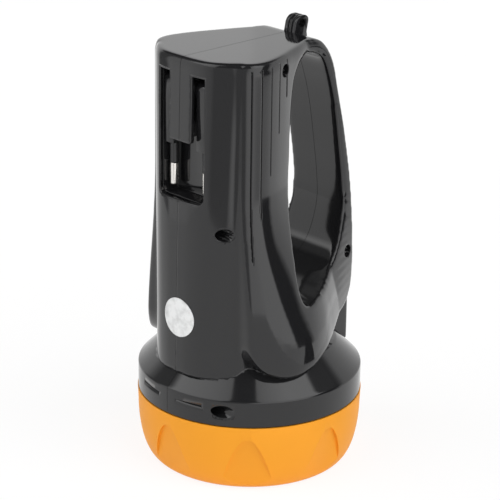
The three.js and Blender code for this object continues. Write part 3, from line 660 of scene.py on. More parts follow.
@dataclass
class Case:
    """Both halves of the case, with the recess, wells, grooves and lanyard eye."""

    form: CaseForm = field(default_factory=CaseForm)
    voxel: float = 0.75
    seam: float = 0.1
    half_reach: float = 80
    half_height: float = 220
    dish_half: float = 7.5
    dish_low: float = 54.5
    dish_high: float = 79.5
    recess_half: float = 13.7
    recess_floor: float = 130.8
    recess_top: float = 186.5
    recess_corner: float = 3
    tongue_half: float = 6.9
    tongue_foot: float = 156.8
    rim: float = 0.8
    bay_front: float = -40.6
    bay_back: float = -31.5
    bay_top: float = 188.8
    bay_wall: float = 1.6
    well_radius: float = 2.85
    seat: float = -5
    shank_radius: float = 1.7
    wells: tuple[Pair, ...] = ((-8.6, 187.4), (-37.09, 118.3), (44.93, 89.6), (-42.5, 39.19), (42.5, 39.19))
    eye_reach: float = 26.3
    well_rim: float = 0.35
    sliver_height: float = 40.5
    sliver_start: float = 5.7
    sliver_sweep: float = 15.7
    sliver_tip: float = 0.08
    sliver_growth: float = 0.57
    rim_width: float = 2.6
    loop_softness: float = 0.55
    grip_softness: float = 0.22
    foot_softness: float = 0.6
    grooves: tuple[Triple, ...] = (
        (-0.696, 0.545, 0.985), (-0.593, 0.647, 0.986), (-0.459, 0.741, 0.987), (-0.315, 0.83, 0.988),
        (-0.165, 0.905, 0.99),
    )
    groove_width: float = 0.62
    groove_depth: float = 0.6
    surface: Piece | None = None

    def recess_outline(self) -> list[Pair]:
        """The recess's opening from behind, round the tongue that hangs into it."""
        half, corner, floor, top = self.recess_half, self.recess_corner, self.recess_floor, self.recess_top
        tongue, foot, small, stride = self.tongue_half, self.tongue_foot, 1.4, 1.4
        return filled([
            (half, top), (tongue, top), *reversed(arc((tongue - small, foot + small), small, -90, 0, 6)),
            *reversed(arc((small - tongue, foot + small), small, 180, 270, 6)), (-tongue, top), (-half, top),
            *arc((corner - half, floor + corner), corner, 180, 270, 10),
            *arc((half - corner, floor + corner), corner, 270, 360, 10),
        ], stride)

    def rimmed(self, name: str, axis: Axis, outline: Outline, end: float, rim: float) -> Piece:
        """A cutter that leaves a rounded edge where it enters the case.

        Args:
            name: The object's name.
            axis: The axis that it cuts along, from the negative side.
            outline: Its outline, across the axis.
            end: How deep it goes, as a place along the axis.
            rim: The radius of the edge that it leaves.

        Returns:
            The new object.
        """
        def placed(depth: float, pair: Pair) -> Triple:
            """A place at a depth along the axis."""
            return (depth, *pair) if axis is Axis.X else (pair[0], depth, pair[1])

        def surface(pair: Pair) -> float:
            """How deep the case's surface lies."""
            ahead = Vector((1, 0, 0)) if axis is Axis.X else Vector((0, 1, 0))
            _, place, _, _ = self.surface.ray_cast(Vector(placed(-CLEAR, pair)) * MM, ahead)
            return place[axis.value] / MM

        rings = [[placed(end, pair) for pair in outline]]
        for turn in range(0, 91, 15):
            a = math.radians(turn)
            grown = drawn_in(outline, -rim * (1 - math.cos(a)))
            rings.append([placed(surface(pair) + rim * (1 - math.sin(a)), pair) for pair in grown])
        rings.append([placed(-CLEAR, pair) for pair in drawn_in(outline, -rim)])
        return ringed(name, rings)

    def skin_solid(self) -> Piece:
        """The outer form with its softened edges, as one moulding."""
        form = self.form.outer()
        low = (self.form.handle_reach - 3, -self.dish_half, self.dish_low)
        combine(form, [block("switch_dish", low, (60, self.dish_half, self.dish_high))], "DIFFERENCE")
        exact = duplicate(form, "exact_form")
        finish_with(form, "REMESH", mode="VOXEL", voxel_size=self.voxel * MM)
        self.round_edges(form)
        finish_with(form, "SHRINKWRAP", target=exact, wrap_method="NEAREST_SURFACEPOINT", vertex_group="flat")
        finish_with(form, "SMOOTH", factor=0.5, iterations=8, vertex_group="flat")
        discard(exact)
        return combine(form, [self.form.head()], "UNION")

    def collar_sliver(self, side: Side) -> Piece:
        """The cutter of the tapered notch on the collar beside the back seam.

        Args:
            side: The half of the lamp that it lies on.

        Returns:
            The cutter.
        """
        last, depth, lift, radius = 14, 0.9, 1.5, self.form.collar_radius
        angles = [math.radians(self.sliver_start + self.sliver_sweep * i / last) for i in range(last + 1)]
        outs = [(-math.cos(a), side.value * math.sin(a), 0.0) for a in angles]
        path = [Vector((x * radius, y * radius, self.sliver_height)) for x, y, _ in outs]
        rings = []
        for i, here in enumerate(path):
            ahead = (path[min(i + 1, last)] - path[max(i - 1, 0)]).normalized()
            out = Vector(outs[i]).normalized()
            across = ahead.cross(out).normalized() * (self.sliver_tip + self.sliver_growth * i / last)
            deep, proud = out * depth, out * lift
            rings.append([here + across - deep, here - across - deep, here - across + proud, here + across + proud])
        return ringed("sliver", rings)

    def edge_runs(self) -> list[Outline]:
        """The runs of edges that are rounded more: the loop's, the grip's and the cheeks' rims."""
        form = self.form
        grip = filled(flowing(form.scaled(form.grip_edge[:14]), 200, False), 0.4)
        foot = flowing(form.scaled(form.grip_edge[13:]), 200, False)
        back = [(form.cheek_section(z)[0][0], z) for z in (75 + 0.39 * i for i in range(300))]
        return [filled(form.loop_outline(), 0.4), grip[:int(len(grip) * 0.49)], foot + back]

    def round_edges(self, form: Piece) -> None:
        """Softens every edge a little, and the hand's loop and the grip more.

        Args:
            form: The remeshed outer form, which is changed.
        """
        marks = [(kind, Vector((x, 0, z)) * MM) for kind, run in enumerate(self.edge_runs()) for x, z in run]
        lines = KDTree(len(marks))
        for i, (_, mark) in enumerate(marks):
            lines.insert(mark, i)
        lines.balance()
        hand, flat = (form.vertex_groups.new(name=name) for name in ("hand", "flat"))
        for vertex in form.data.vertices:
            here = vertex.co
            weight = close = 0.0
            if here.z > 50 * MM:
                _, which, near = lines.find(Vector((here.x, 0, here.z)))
                close = min(max(1.7 - near / (self.rim_width * MM), 0), 1)
                weight = self.edge_weight(marks[which][0], here) * close
            hand.add([vertex.index], weight, "REPLACE")
            flat.add([vertex.index], 1 - min(close, 1.6 * weight), "REPLACE")
        finish_with(form, "SMOOTH", factor=0.5, iterations=3)
        finish_with(form, "SMOOTH", factor=0.5, iterations=36, vertex_group="hand")

    def edge_weight(self, kind: int, here: Vector) -> float:
        """How much an edge is rounded: the loop's, the grip's or the cheek's rim.

        Args:
            kind: Which run of edges is nearest.
            here: The place.

        Returns:
            A weight from 0 to 1.
        """
        high = min(max((here.z / MM - 150) / 25, 0), 1)
        if kind == 0:
            return self.loop_softness + 0.45 * high if here.x < 10 * MM else 1
        return self.grip_softness + 0.6 * high if kind == 1 else self.foot_softness

    def lanyard_eye(self) -> Piece:
        """The lanyard's eye: a thin middle with two lugs and a ridge on the seam."""
        centre, crown, rise = self.eye_reach, self.form.height, 3.2

        def outline(shrink: float) -> list[Pair]:
            """The eye's outline, drawn in by a width, with its lean."""
            half, top, corner = 4 - shrink, crown + 6.6 - shrink, 3.3 - shrink
            upright = [
                (centre - half - 1.2, crown - 4), (centre + half + 1.2, crown - 4), (centre + half, crown - 1),
                *arc((centre + half - corner, top - corner), corner, 0, 90, 10),
                *arc((centre - half + corner, top - corner), corner, 90, 180, 10), (centre - half, crown - 1),
            ]
            return [(x + 0.22 * (z - crown - rise), z) for x, z in upright]

        eye = slab("eye", outline(0.6), -3.28, 3.28)
        lugs = [slab("lug", outline(0), low, high) for low, high in ((-3.3, -1.4), (1.4, 3.3), (-0.8, 0.8))]
        combine(eye, [soften(lug, 0.3, 2) for lug in lugs], "UNION")
        return combine(eye, [bar("eye_hole", (centre, crown + rise), 1.85, -10, 10, 32)], "DIFFERENCE")

    def groove(self, form: Piece, side: Side, across: float, low: float, high: float) -> Piece:
        """A thin cutter that follows one cheek down a groove.

        Args:
            form: The moulding that it is cut into.
            side: The half of the lamp that it lies on.
            across: Its X as a share of the body's reach.
            low: Its foot as a share of the height.
            high: Its top as a share of the height.

        Returns:
            The cutter.
        """
        x, half, steps, out = across * self.form.body_reach, self.groove_width / 2, 40, side.value
        rings: list[list[Triple]] = []
        for i in range(steps + 1):
            share = i / steps
            z = (low + (high - low) * share) * self.form.height
            hit, place, _, _ = form.ray_cast(Vector((x, out * CLEAR, z)) * MM, Vector((0, -out, 0)))
            surface = place.y / MM if hit else out * CLEAR
            inner = surface - out * self.groove_depth * min(1, share * 9 + 0.25)
            outer = surface + out * 1.5
            rings.append([(x - half, inner, z), (x + half, inner, z), (x + half, outer, z), (x - half, outer, z)])
        return ringed("groove", rings)

    def cut_rooms(self) -> list[Piece]:
        """The cutters of the liner's room, of the wells and of the screws' shanks."""
        gap = 0.3
        half = self.recess_half + self.bay_wall + gap
        low = (self.bay_front - gap, -half, self.recess_floor - self.bay_wall - gap)
        cuts = [block("bay_room", low, (self.bay_back + gap, half, self.bay_top + self.bay_wall + gap))]
        cuts += [bar("well_bore", well, self.well_radius + 0.02, -CLEAR, self.seat, 48) for well in self.wells]
        return cuts + [bar("shank", well, self.shank_radius, self.seat - 3, 9.3, 28) for well in self.wells]

    def build(self) -> dict[Side, Piece]:
        """Both halves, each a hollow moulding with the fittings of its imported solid."""
        form = self.skin_solid()
        self.surface = duplicate(form, "case_surface")
        cuts = [self.rimmed("recess_cut", Axis.X, self.recess_outline(), self.bay_front + 0.3, self.rim)]
        for well in self.wells:
            circle = arc(well, self.well_radius, 0, 350, 35)
            cuts.append(self.rimmed("well_cut", Axis.Y, circle, self.seat, self.well_rim))
        for side in Side:
            cuts += [self.collar_sliver(side), *[self.groove(form, side, *run) for run in self.grooves]]
        combine(form, [self.lanyard_eye()], "UNION")
        combine(form, cuts, "DIFFERENCE")
        inner = self.form.inner()
        combine(form, [inner], "DIFFERENCE", keep=True)
        halves = {}
        reach, height = self.half_reach, self.half_height
        for side in Side:
            half = duplicate(form, f"case_{side.name.lower()}")
            low, high = (-reach, -self.seam) if side is Side.NEAR else (self.seam, reach)
            combine(half, [block("half", (-reach, low, 0), (reach, high, height))], "INTERSECT")
            fittings = combine(from_node(f"{side.name.lower()}_housing", "fittings"), [inner], "INTERSECT", keep=True)
            combine(half, [fittings], "UNION")
            halves[side] = smooth_look(combine(half, self.cut_rooms(), "DIFFERENCE"), 38)
        discard(inner)
        discard(form)
        return halves


# Finishes


class Wire:
    """A number on a shader socket, so that sums of it read as sums."""

    def __init__(self, bench: "Bench", socket: bpy.types.NodeSocket) -> None:
        """Wraps one output socket of the bench's tree."""
        self.bench = bench
        self.socket = socket

    def joined(self, operation: str, other: "Wire | float", flipped: bool = False) -> "Wire":
        """This number and another through one Math node."""
        pair = (other, self) if flipped else (self, other)
        return self.bench.read("ShaderNodeMath", {0: pair[0], 1: pair[1]}, operation=operation)

    def __add__(self, other: "Wire | float") -> "Wire":
        """The sum."""
        return self.joined("ADD", other)

    __radd__ = __add__

    def __sub__(self, other: "Wire | float") -> "Wire":
        """The difference."""
        return self.joined("SUBTRACT", other)

    def __rsub__(self, other: "Wire | float") -> "Wire":
        """The difference the other way."""
        return self.joined("SUBTRACT", other, True)

    def __mul__(self, other: "Wire | float") -> "Wire":
        """The product."""
        return self.joined("MULTIPLY", other)

    def held(self) -> "Wire":
        """This number kept between zero and one."""
        return self.joined("MAXIMUM", 0.0).joined("MINIMUM", 1.0)


class Bench:
    """A node tree and the one way that its nodes are added."""

    def __init__(self, tree: bpy.types.NodeTree) -> None:
        """Empties the tree."""
        self.tree = tree
        tree.nodes.clear()

    def node(self, kind: str, sockets: Sockets | None = None, **settings: object) -> bpy.types.Node:
        """Adds a node.

        Args:
            kind: The node's type.
            sockets: Values or links of its inputs, by name or number.
            settings: Its settings, put in before its sockets.

        Returns:
            The new node.
        """
        node = self.tree.nodes.new(kind)
        for key, value in settings.items():
            setattr(node, key, value)
        for key, value in (sockets or {}).items():
            if isinstance(value, (Wire, bpy.types.NodeSocket)):
                self.tree.links.new(value.socket if isinstance(value, Wire) else value, node.inputs[key])
            else:
                node.inputs[key].default_value = value
        return node

    def read(self, kind: str, sockets: Sockets | None = None, output: int | str = 0, **settings: object) -> Wire:
        """Adds a node and returns one of its outputs."""
        return Wire(self, self.node(kind, sockets, **settings).outputs[output])

    def noise(self, scale: float, detail: float, stretch: Triple = (1, 1, 1)) -> Wire:
        """A noise over the piece, with its scale in spots to a metre.

        Args:
            scale: Spots to a metre.
            detail: How many finer layers it has.
            stretch: How far it is stretched along each axis.

        Returns:
            The noise's level.
        """
        spot = self.read("ShaderNodeTexCoord", output="Object")
        place = self.read("ShaderNodeMapping", {"Vector": spot, "Scale": stretch}, vector_type="TEXTURE")
        return self.read("ShaderNodeTexNoise", {"Vector": place, "Scale": scale, "Detail": detail, "Roughness": 0.55})

    def mixed(self, factor: Wire, first: Colour, second: Colour) -> Wire:
        """A colour between two, by a factor."""
        return self.read("ShaderNodeMix", {0: factor, 6: (*first, 1), 7: (*second, 1)}, 2, data_type="RGBA")

    def bumped(self, height: Wire, depth: float, strength: float) -> Wire:
        """A normal from a height, with its depth in millimetres."""
        return self.read("ShaderNodeBump", {"Height": height, "Distance": depth * MM, "Strength": strength})


@dataclass(frozen=True)
class Finish:
    """A plain finish, which the others build on."""

    name: str
    slot: str
    colour: Colour
    roughness: float
    metallic: float = 0

    def tinted(self, bench: Bench, factor: Wire, share: float) -> Wire:
        """The finish's colour, drifting to a share of itself by a factor."""
        return bench.mixed(factor, self.colour, tuple(c * share for c in self.colour))

    def dress(self, bench: Bench) -> Sockets:
        """What the finish puts on the shader's sockets."""
        grain = bench.noise(900, 3)
        return {
            "Base Color": self.tinted(bench, grain, 0.86),
            "Roughness": grain * 0.12 + (self.roughness - 0.06),
            "Normal": bench.bumped(grain, 0.01, 0.4),
        }

    def material(self) -> bpy.types.Material:
        """The finish as a material."""
        material = bpy.data.materials.new(self.name)
        material.use_nodes = True
        material.diffuse_color = (*self.colour, 1)
        bench = Bench(material.node_tree)
        sockets = {"Metallic": self.metallic, **self.dress(bench)}
        shader = bench.node("ShaderNodeBsdfPrincipled", sockets)
        bench.node("ShaderNodeOutputMaterial", {"Surface": shader.outputs[0]})
        return material


@dataclass(frozen=True)
class GlossMoulding(Finish):
    """Glossy moulded plastic with a faint ripple and a few handling marks."""

    ripple: float = 0.012
    marks: float = 0.05

    def dress(self, bench: Bench) -> Sockets:
        """Gloss that varies a little, with a slow ripple in the surface."""
        wave = bench.noise(70, 1)
        fine = bench.noise(1500, 2)
        rubbed = (bench.noise(38, 3, (1, 1, 2.4)) - 0.52) * 3
        return {
            "Base Color": self.tinted(bench, fine, 0.8),
            "Roughness": self.roughness + rubbed.held() * self.marks + fine * 0.03,
            "Normal": bench.bumped(wave + fine * 0.04, self.ripple, 1),
        }


@dataclass(frozen=True)
class SatinMoulding(Finish):
    """Satin moulded plastic with a fine spark-eroded grain."""

    shine: float = 0.5
    grain_depth: float = 0.012

    def dress(self, bench: Bench) -> Sockets:
        """A fine even grain, and a slow drift of the colour."""
        grain = bench.noise(2600, 2)
        drift = bench.noise(30, 2)
        return {
            "Base Color": self.tinted(bench, drift, 0.93),
            "Roughness": self.roughness + grain * 0.1,
            "Specular IOR Level": self.shine,
            "Normal": bench.bumped(grain, self.grain_depth, 0.7),
        }


@dataclass(frozen=True)
class DrawnMetal(Finish):
    """Metal with fine lines along one direction."""

    stretch: Triple = (1, 1, 14)
    metallic: float = 1

    def dress(self, bench: Bench) -> Sockets:
        """Drawing lines in the roughness and the surface."""
        lines = bench.noise(5200, 3, self.stretch)
        dull = bench.noise(420, 2)
        return {
            "Base Color": self.tinted(bench, dull, 0.84),
            "Roughness": self.roughness + lines * 0.14 + dull * 0.05,
            "Normal": bench.bumped(lines, 0.006, 0.5),
        }


@dataclass(frozen=True)
class BareFoil(Finish):
    """Bare silver foil on a thin label, a little creased."""

    metallic: float = 0.35

    def dress(self, bench: Bench) -> Sockets:
        """A cloudy sheen and soft creases."""
        cloud = bench.noise(260, 4)
        crease = bench.noise(120, 1, (1, 1, 3))
        return {
            "Base Color": self.tinted(bench, ((cloud - 0.42) * 4).held(), 0.78),
            "Roughness": self.roughness + cloud * 0.16,
            "Normal": bench.bumped(crease + cloud * 0.3, 0.05, 0.6),
        }


@dataclass(frozen=True)
class ClearWindow(Finish):
    """Clear moulded plastic."""

    alpha: float = 0.26

    def dress(self, bench: Bench) -> Sockets:
        """A clear sheet with a trace of dust."""
        dust = bench.noise(600, 4)
        return {
            "Base Color": self.tinted(bench, dust, 0.97),
            "Roughness": self.roughness + dust * 0.04,
            "Alpha": self.alpha + dust * 0.04,
        }


@dataclass(frozen=True)
class MirrorCoat(Finish):
    """A vacuum-metallised mirror."""

    metallic: float = 1

    def dress(self, bench: Bench) -> Sockets:
        """A bright coat with a faint haze."""
        haze = bench.noise(55, 3)
        return {
            "Base Color": self.tinted(bench, haze, 0.95),
            "Roughness": self.roughness + haze * 0.05,
            "Normal": bench.bumped(bench.noise(95, 1), 0.02, 0.6),
        }


class Finishes:
    """Every finish of the lamp, made once."""

    def __init__(self) -> None:
        """Makes the materials."""
        kinds = [
            GlossMoulding("black_case", "black_gloss", (0.0125, 0.0125, 0.0135), 0.055),
            SatinMoulding("black_inner", "black_satin", (0.02, 0.02, 0.021), 0.32),
            SatinMoulding("amber_bezel", "yellow", (0.95, 0.375, 0.012), 0.5, 0.25),
            ClearWindow("window", "clear", (0.92, 0.95, 0.97), 0.03),
            Finish("black_rubber", "rubber", (0.018, 0.018, 0.019), 0.75),
            MirrorCoat("reflector_coat", "reflector_coat", (0.9, 0.91, 0.92), 0.05),
            Finish("phosphor", "phosphor", (0.9, 0.76, 0.26), 0.25),
            Finish("white_mask", "white_board", (0.82, 0.82, 0.8), 0.5),
            Finish("green_mask", "green_board", (0.02, 0.15, 0.05), 0.4),
            DrawnMetal("plain_aluminium", "aluminium", (0.7, 0.71, 0.73), 0.32),
            DrawnMetal("blackened_steel", "steel", (0.05, 0.05, 0.053), 0.5),
            DrawnMetal("bright_nickel", "nickel", (0.9, 0.87, 0.83), 0.16),
            DrawnMetal("plain_brass", "brass", (0.74, 0.52, 0.2), 0.28),
            SatinMoulding("battery_shell", "battery_case", (0.06, 0.075, 0.1), 0.5),
            GlossMoulding("dipped_film", "blue_film", (0.02, 0.09, 0.32), 0.25),
            BareFoil("silver_foil", "silver_foil", (0.86, 0.87, 0.87), 0.34),
        ]
        self.by_slot = {kind.slot: kind.material() for kind in kinds}

    def onto(self, piece: Piece, slot: str) -> None:
        """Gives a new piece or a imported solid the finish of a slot.

        Args:
            piece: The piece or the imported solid.
            slot: The record's material slot.
        """
        material = self.by_slot[slot]
        for held in piece.material_slots:
            held.material = material
        if not piece.material_slots:
            piece.data.materials.append(material)


@dataclass
class Maker:
    """Hands each finished piece to its body."""

    finishes: Finishes

    def hand_over(self, piece: Piece, slot: str, body: str, nodes: Sequence[str]) -> None:
        """Dresses a piece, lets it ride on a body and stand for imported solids.

        Args:
            piece: The finished piece.
            slot: The record's material slot that it takes its finish from.
            body: The body that it moves with.
            nodes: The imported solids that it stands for.
        """
        self.finishes.onto(piece, slot)
        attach(piece, body)
        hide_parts(*nodes)
        LOG.info("%s: %d faces, on %s", piece.name, len(piece.data.polygons), body)


# The other sub-assemblies


@dataclass
class LightUnit:
    """The bezel, window, gasket, reflector and emitter at the lamp's front."""

    bezel_height: float = 32
    rim_radius: float = 42.3
    rim_inner: float = 39.5
    side_radius: float = 50.7
    top_radius: float = 51
    round_height: float = 25.5
    bore: float = 48
    lens_radius: float = 43.7
    lens_seat: float = 4
    scallop_count: int = 8
    scallop: tuple[Pair, ...] = (
        (0, 26.2), (2.2, 25.5), (3.9, 23.7), (5.9, 20.4), (7.7, 16.3), (9.4, 11.2), (10.8, 6), (12, 0.5),
    )
    # The heights of a flat's foot and crown, each with how far out the flat lies there.
    flat_lean: tuple[float, float, float, float] = (5, 46.5, 26.2, 49.6)
    bowl: Pair = (42, 44.5)
    led_hole: float = 6.2
    board: float = 45.3

    def bezel(self) -> Piece:
        """The amber ring with its row of arched flats."""
        lip, seat, top = self.lens_radius + 0.3, self.lens_seat, self.bezel_height
        outer = []
        for i in range(37):
            turn = i / 36 * math.pi / 2
            reach = self.rim_radius + (self.side_radius - self.rim_radius) * math.sin(turn)
            outer.append((reach, self.round_height * (1 - math.cos(turn))))
        ring = turned("bezel", [
            (self.rim_inner, 0), *outer, (self.top_radius, top), (self.bore, top), (self.bore, top / 2), (lip, top / 3),
            (lip, seat), (self.rim_inner, seat), (self.rim_inner, 0),
        ], 224)
        for count in range(self.scallop_count):
            combine(ring, [self.flat_cutter(count * 360 / self.scallop_count)], "DIFFERENCE")
        return smooth_look(soften(ring, 0.4, 3, 24), 24)

    def flat_cutter(self, angle: float) -> Piece:
        """The cutter of one arched flat, whose flat face leans in towards the rim.

        Args:
            angle: Where the flat lies round the lamp, in degrees.

        Returns:
            The cutter.
        """
        half = flowing(self.scallop, 22, False)
        outline = [*[(-t, z) for t, z in reversed(half[1:])], *half]
        low, deep, high, shallow = self.flat_lean
        inner = [(deep + (shallow - deep) * (z - low) / (high - low), t, z) for t, z in outline]
        cutter = ringed("flat_cutter", [inner, [(60.0, t, z) for t, z in outline]])
        cutter.data.transform(Matrix.Rotation(math.radians(angle), 4, "Z"))
        return cutter

    def window(self) -> Piece:
        """The clear window, with rounded edges and a shallow step round its rim."""
        r = self.lens_radius
        return smooth_look(turned("window", [
            (0, 5.0), (38.6, 5.0), (38.8, 5.15), (r - 0.3, 5.15), (r, 5.45), (r, 7.1), (r - 0.3, 7.4), (0, 7.4),
        ], 160), 30)

    def gasket(self) -> Piece:
        """The soft ring under the window."""
        r = self.lens_radius
        return smooth_look(turned("gasket", [
            (r - 3.2, 4.3), (r - 3.0, 4.1), (r - 0.2, 4.1), (r, 4.3), (r, 4.7), (r - 0.2, 4.9), (r - 3.0, 4.9),
            (r - 3.2, 4.7), (r - 3.2, 4.3),
        ], 160), 50)

    def bowl_radius(self, z: float) -> float:
        """The radius of the reflecting bowl at a height."""
        mouth, apex = self.bowl
        return mouth * math.sqrt(max(apex - z, 0) / (apex - self.lens_seat))

    def reflector(self) -> Piece:
        """The bowl with its flange."""
        scale = self.bowl[0] ** 2 / (self.bowl[1] - self.lens_seat)
        hole = self.bowl[1] - self.led_hole ** 2 / scale
        mouth, flange = 7.5, 17.7
        inner, outer = [], []
        for i in range(33):
            share = math.sqrt(i / 32)
            z = mouth + (hole - mouth) * share
            inner.append((self.bowl_radius(z), z))
            back = flange + (hole - flange) * share
            outer.insert(0, (self.bowl_radius(back) + 1.6, back))
        return smooth_look(turned("reflector", [
            *inner, (self.led_hole, self.board), (self.led_hole + 1.6, self.board), *outer[1:], (46.9, flange),
            (46.9, flange - 1.3), (self.lens_radius, flange - 2.6), (self.lens_radius, mouth), inner[0],
        ], 160), 30)

    def emitter(self) -> Piece:
        """The domed emitter on its square base."""
        angles = [math.radians(a) for a in range(0, 90, 9)]
        dome = turned("emitter", [
            (0, self.board), *[(2.45 * math.cos(a), 44.3 - 2.0 * math.sin(a)) for a in angles], (0, 42.3),
        ], 48)
        base = block("emitter_base", (-2.6, -2.6, 44.4), (2.6, 2.6, self.board))
        return smooth_look(combine(dome, [soften(base, 0.25, 3)], "UNION"), 35)

    def build(self, maker: Maker) -> None:
        """Makes the unit's pieces."""
        for make, slot, node in (
            (self.bezel, "yellow", "bezel_ring"), (self.window, "clear", "lens"),
            (self.gasket, "rubber", "lens_gasket"), (self.reflector, "reflector_coat", "reflector"),
            (self.emitter, "phosphor", "led_emitter"),
        ):
            maker.hand_over(make(), slot, "case", [node])


@dataclass
class FoldingPlug:
    """The plug with its pins, and the liner that it folds into."""

    pin_x: float = -37.0
    spacing: float = 20.6
    pin_radius: float = 2
    core_radius: float = 1.3
    bottom: float = 153.4
    pin_length: float = 19.6
    sleeve_length: float = 9.6
    sleeve_wall: float = 0.4
    root: float = 5
    axis: Pair = (-37, 180.1)
    axle_half: float = 15.2
    arm_rounding: Rounding = (0.55, 4, 35)
    axle_rounding: Rounding = (0.2, 2, 60)
    liner_rounding: Rounding = (0.25, 2, 40)

    def standing(self, name: str, profile: Outline, y: float) -> Piece:
        """A turned pin part at one pin's place.

        Args:
            name: The object's name.
            profile: Radius and height along the part.
            y: The pin's Y.

        Returns:
            The new object.
        """
        part = turned(name, profile, 48)
        part.data.transform(Matrix.Translation((self.pin_x * MM, y * MM, 0)))
        return smooth_look(part, 40)

    def sleeve(self, side: Side) -> Piece:
        """The insulating tube on a pin's root.

        Args:
            side: The side that its pin lies on.

        Returns:
            The new object.
        """
        low, high = self.bottom - self.sleeve_length, self.bottom - 0.1
        r, bore = self.pin_radius, self.pin_radius - self.sleeve_wall
        profile = [(bore, low), (r - 0.15, low), (r, low + 0.15), (r, high), (bore, high), (bore, low)]
        return self.standing(f"{side.name.lower()}_sleeve", profile, side.value * self.spacing / 2)

    def pin(self, side: Side) -> Piece:
        """The metal pin with its rounded nose and thinner core.

        Args:
            side: The side that it lies on.

        Returns:
            The new object.
        """
        low, high, top = self.bottom - self.pin_length, self.bottom - self.sleeve_length - 0.1, self.bottom + self.root
        r, core, nose = self.pin_radius, self.core_radius, 0.75
        angles = [math.radians(a) for a in range(0, 91, 10)]
        profile = [
            (0, low), *[(r - nose + nose * math.sin(a), low + nose - nose * math.cos(a)) for a in angles],
            (r, high - 0.08), (r - 0.08, high), (core, high), (core, top), (0, top),
        ]
        return self.standing(f"{side.name.lower()}_pin", profile, side.value * self.spacing / 2)

    def build(self, maker: Maker) -> None:
        """Makes the plug's moulded arms, its axle and its pins, and the liner of the recess."""
        arms = softened("plug_block", "plug_body", self.arm_rounding, 30)
        rod = bar("axle", self.axis, 1, -self.axle_half, self.axle_half, 40)
        axle = smooth_look(soften(rod, *self.axle_rounding), 35)
        liner = softened("plug_bay", "recess_liner", self.liner_rounding, 35)
        maker.hand_over(arms, "black_gloss", "plug", ["plug_block"])
        maker.hand_over(axle, "steel", "plug", ["plug_axle"])
        maker.hand_over(liner, "black_gloss", "case", ["plug_bay"])
        for side in Side:
            name = side.name.lower()
            maker.hand_over(self.sleeve(side), "black_satin", "plug", [f"{name}_pin_sleeve"])
            maker.hand_over(self.pin(side), "nickel", "plug", [f"{name}_plug_pin"])


@dataclass
class CaseScrews:
    """The cross-head screws in their wells."""

    head_radius: float = 2.55
    head_height: float = 1.9
    shank_radius: float = 1.4
    seat: float = -5.1
    nodes: tuple[str, ...] = ("top_screw", "body_screw", "handle_screw", "collar_back_screw", "collar_front_screw")

    def screw(self, name: str, place: Pair) -> Piece:
        """One screw, turned, with its cross cut into a domed head.

        Args:
            name: The object's name.
            place: The X and Z of its well.

        Returns:
            The new object.
        """
        seat, r, shank = -self.seat, self.head_radius, self.shank_radius
        top = seat + self.head_height
        angles = [math.radians(a) for a in range(80, -1, -10)]
        piece = turned(name, [
            (0, top), *[(r * math.cos(a), top - 0.8 + 0.8 * math.sin(a)) for a in angles], (r, seat), (shank, seat),
            (shank, -8.2), (0.7, -9), (0, -9),
        ], 48)
        arm, half, low, high = r * 0.68, 0.36, top - 1.1, top + 1
        cross = [block("slot", (-u, -v, low), (u, v, high)) for u, v in ((arm, half), (half, arm))]
        combine(piece, cross, "DIFFERENCE")
        soften(piece, 0.06, 2, 40)
        upright = Matrix.Rotation(math.radians(90), 4, "X")
        piece.data.transform(Matrix.Translation((place[0] * MM, 0, place[1] * MM)) @ upright)
        return smooth_look(piece, 35)

    def build(self, maker: Maker, places: Outline) -> None:
        """Makes a screw for each well."""
        for node, place in zip(self.nodes, places):
            maker.hand_over(self.screw(f"{node}_head", place), "steel", "case", [node])


@dataclass
class GripSwitch:
    """The slide switch's ribbed knob."""

    rounding: Rounding = (0.28, 3, 40)

    def build(self, maker: Maker) -> None:
        """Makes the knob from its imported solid, with softened ribs."""
        knob = softened("switch_knob", "slide_knob", self.rounding, 35)
        maker.hand_over(knob, "black_satin", "switch_slider", ["switch_knob"])


@dataclass
class Seal:
    """The round bare label across the back seam."""

    radius: float = 8.9
    height: float = 77
    across: float = -1.6
    lift: float = 0.1
    thickness: float = 0.22

    def build(self, maker: Maker, surface: Piece) -> None:
        """Lays a thin disc on the curve of the case."""
        rings, sides = 10, 72
        spots = [(self.across, self.height)]
        for ring in range(1, rings + 1):
            for i in range(sides):
                a, reach = 2 * math.pi * i / sides, self.radius * ring / rings
                spots.append((self.across + reach * math.cos(a), self.height + reach * math.sin(a)))
        points = [(self.depth_at(surface, y, z), y, z) for y, z in spots]
        faces = [(0, 1 + i, 1 + (i + 1) % sides) for i in range(sides)]
        for start in range(1, (rings - 1) * sides, sides):
            ahead = [start + (i + 1) % sides for i in range(sides)]
            faces += [(start + i, start + i + sides, after + sides, after) for i, after in enumerate(ahead)]
        disc = skin("back_label", points, faces)
        if disc.data.polygons[0].normal.x > 0:
            with editing(disc):
                bpy.ops.mesh.flip_normals()
        finish_with(disc, "SOLIDIFY", thickness=self.thickness * MM, offset=1)
        smooth_look(disc, 40)
        maker.hand_over(disc, "silver_foil", "case", ["seal_sticker"])

    def depth_at(self, surface: Piece, y: float, z: float) -> float:
        """Where the label lies along X at one place."""
        hit, place, _, _ = surface.ray_cast(Vector((-CLEAR, y, z)) * MM, Vector((1, 0, 0)))
        return (place.x / MM if hit else -45) - self.lift


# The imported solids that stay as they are, each with the slot of its finish.
INNER_PARTS: dict[str, str] = {
    "led_board": "white_board",
    "heat_sink": "aluminium",
    "near_plug_contact": "brass",
    "far_plug_contact": "brass",
    "battery": "battery_case",
    "near_terminal": "nickel",
    "far_terminal": "nickel",
    "charger_board": "green_board",
    "charger_capacitor": "blue_film",
    "charger_rectifier": "black_satin",
    "switch_body": "black_satin",
}


# The studio


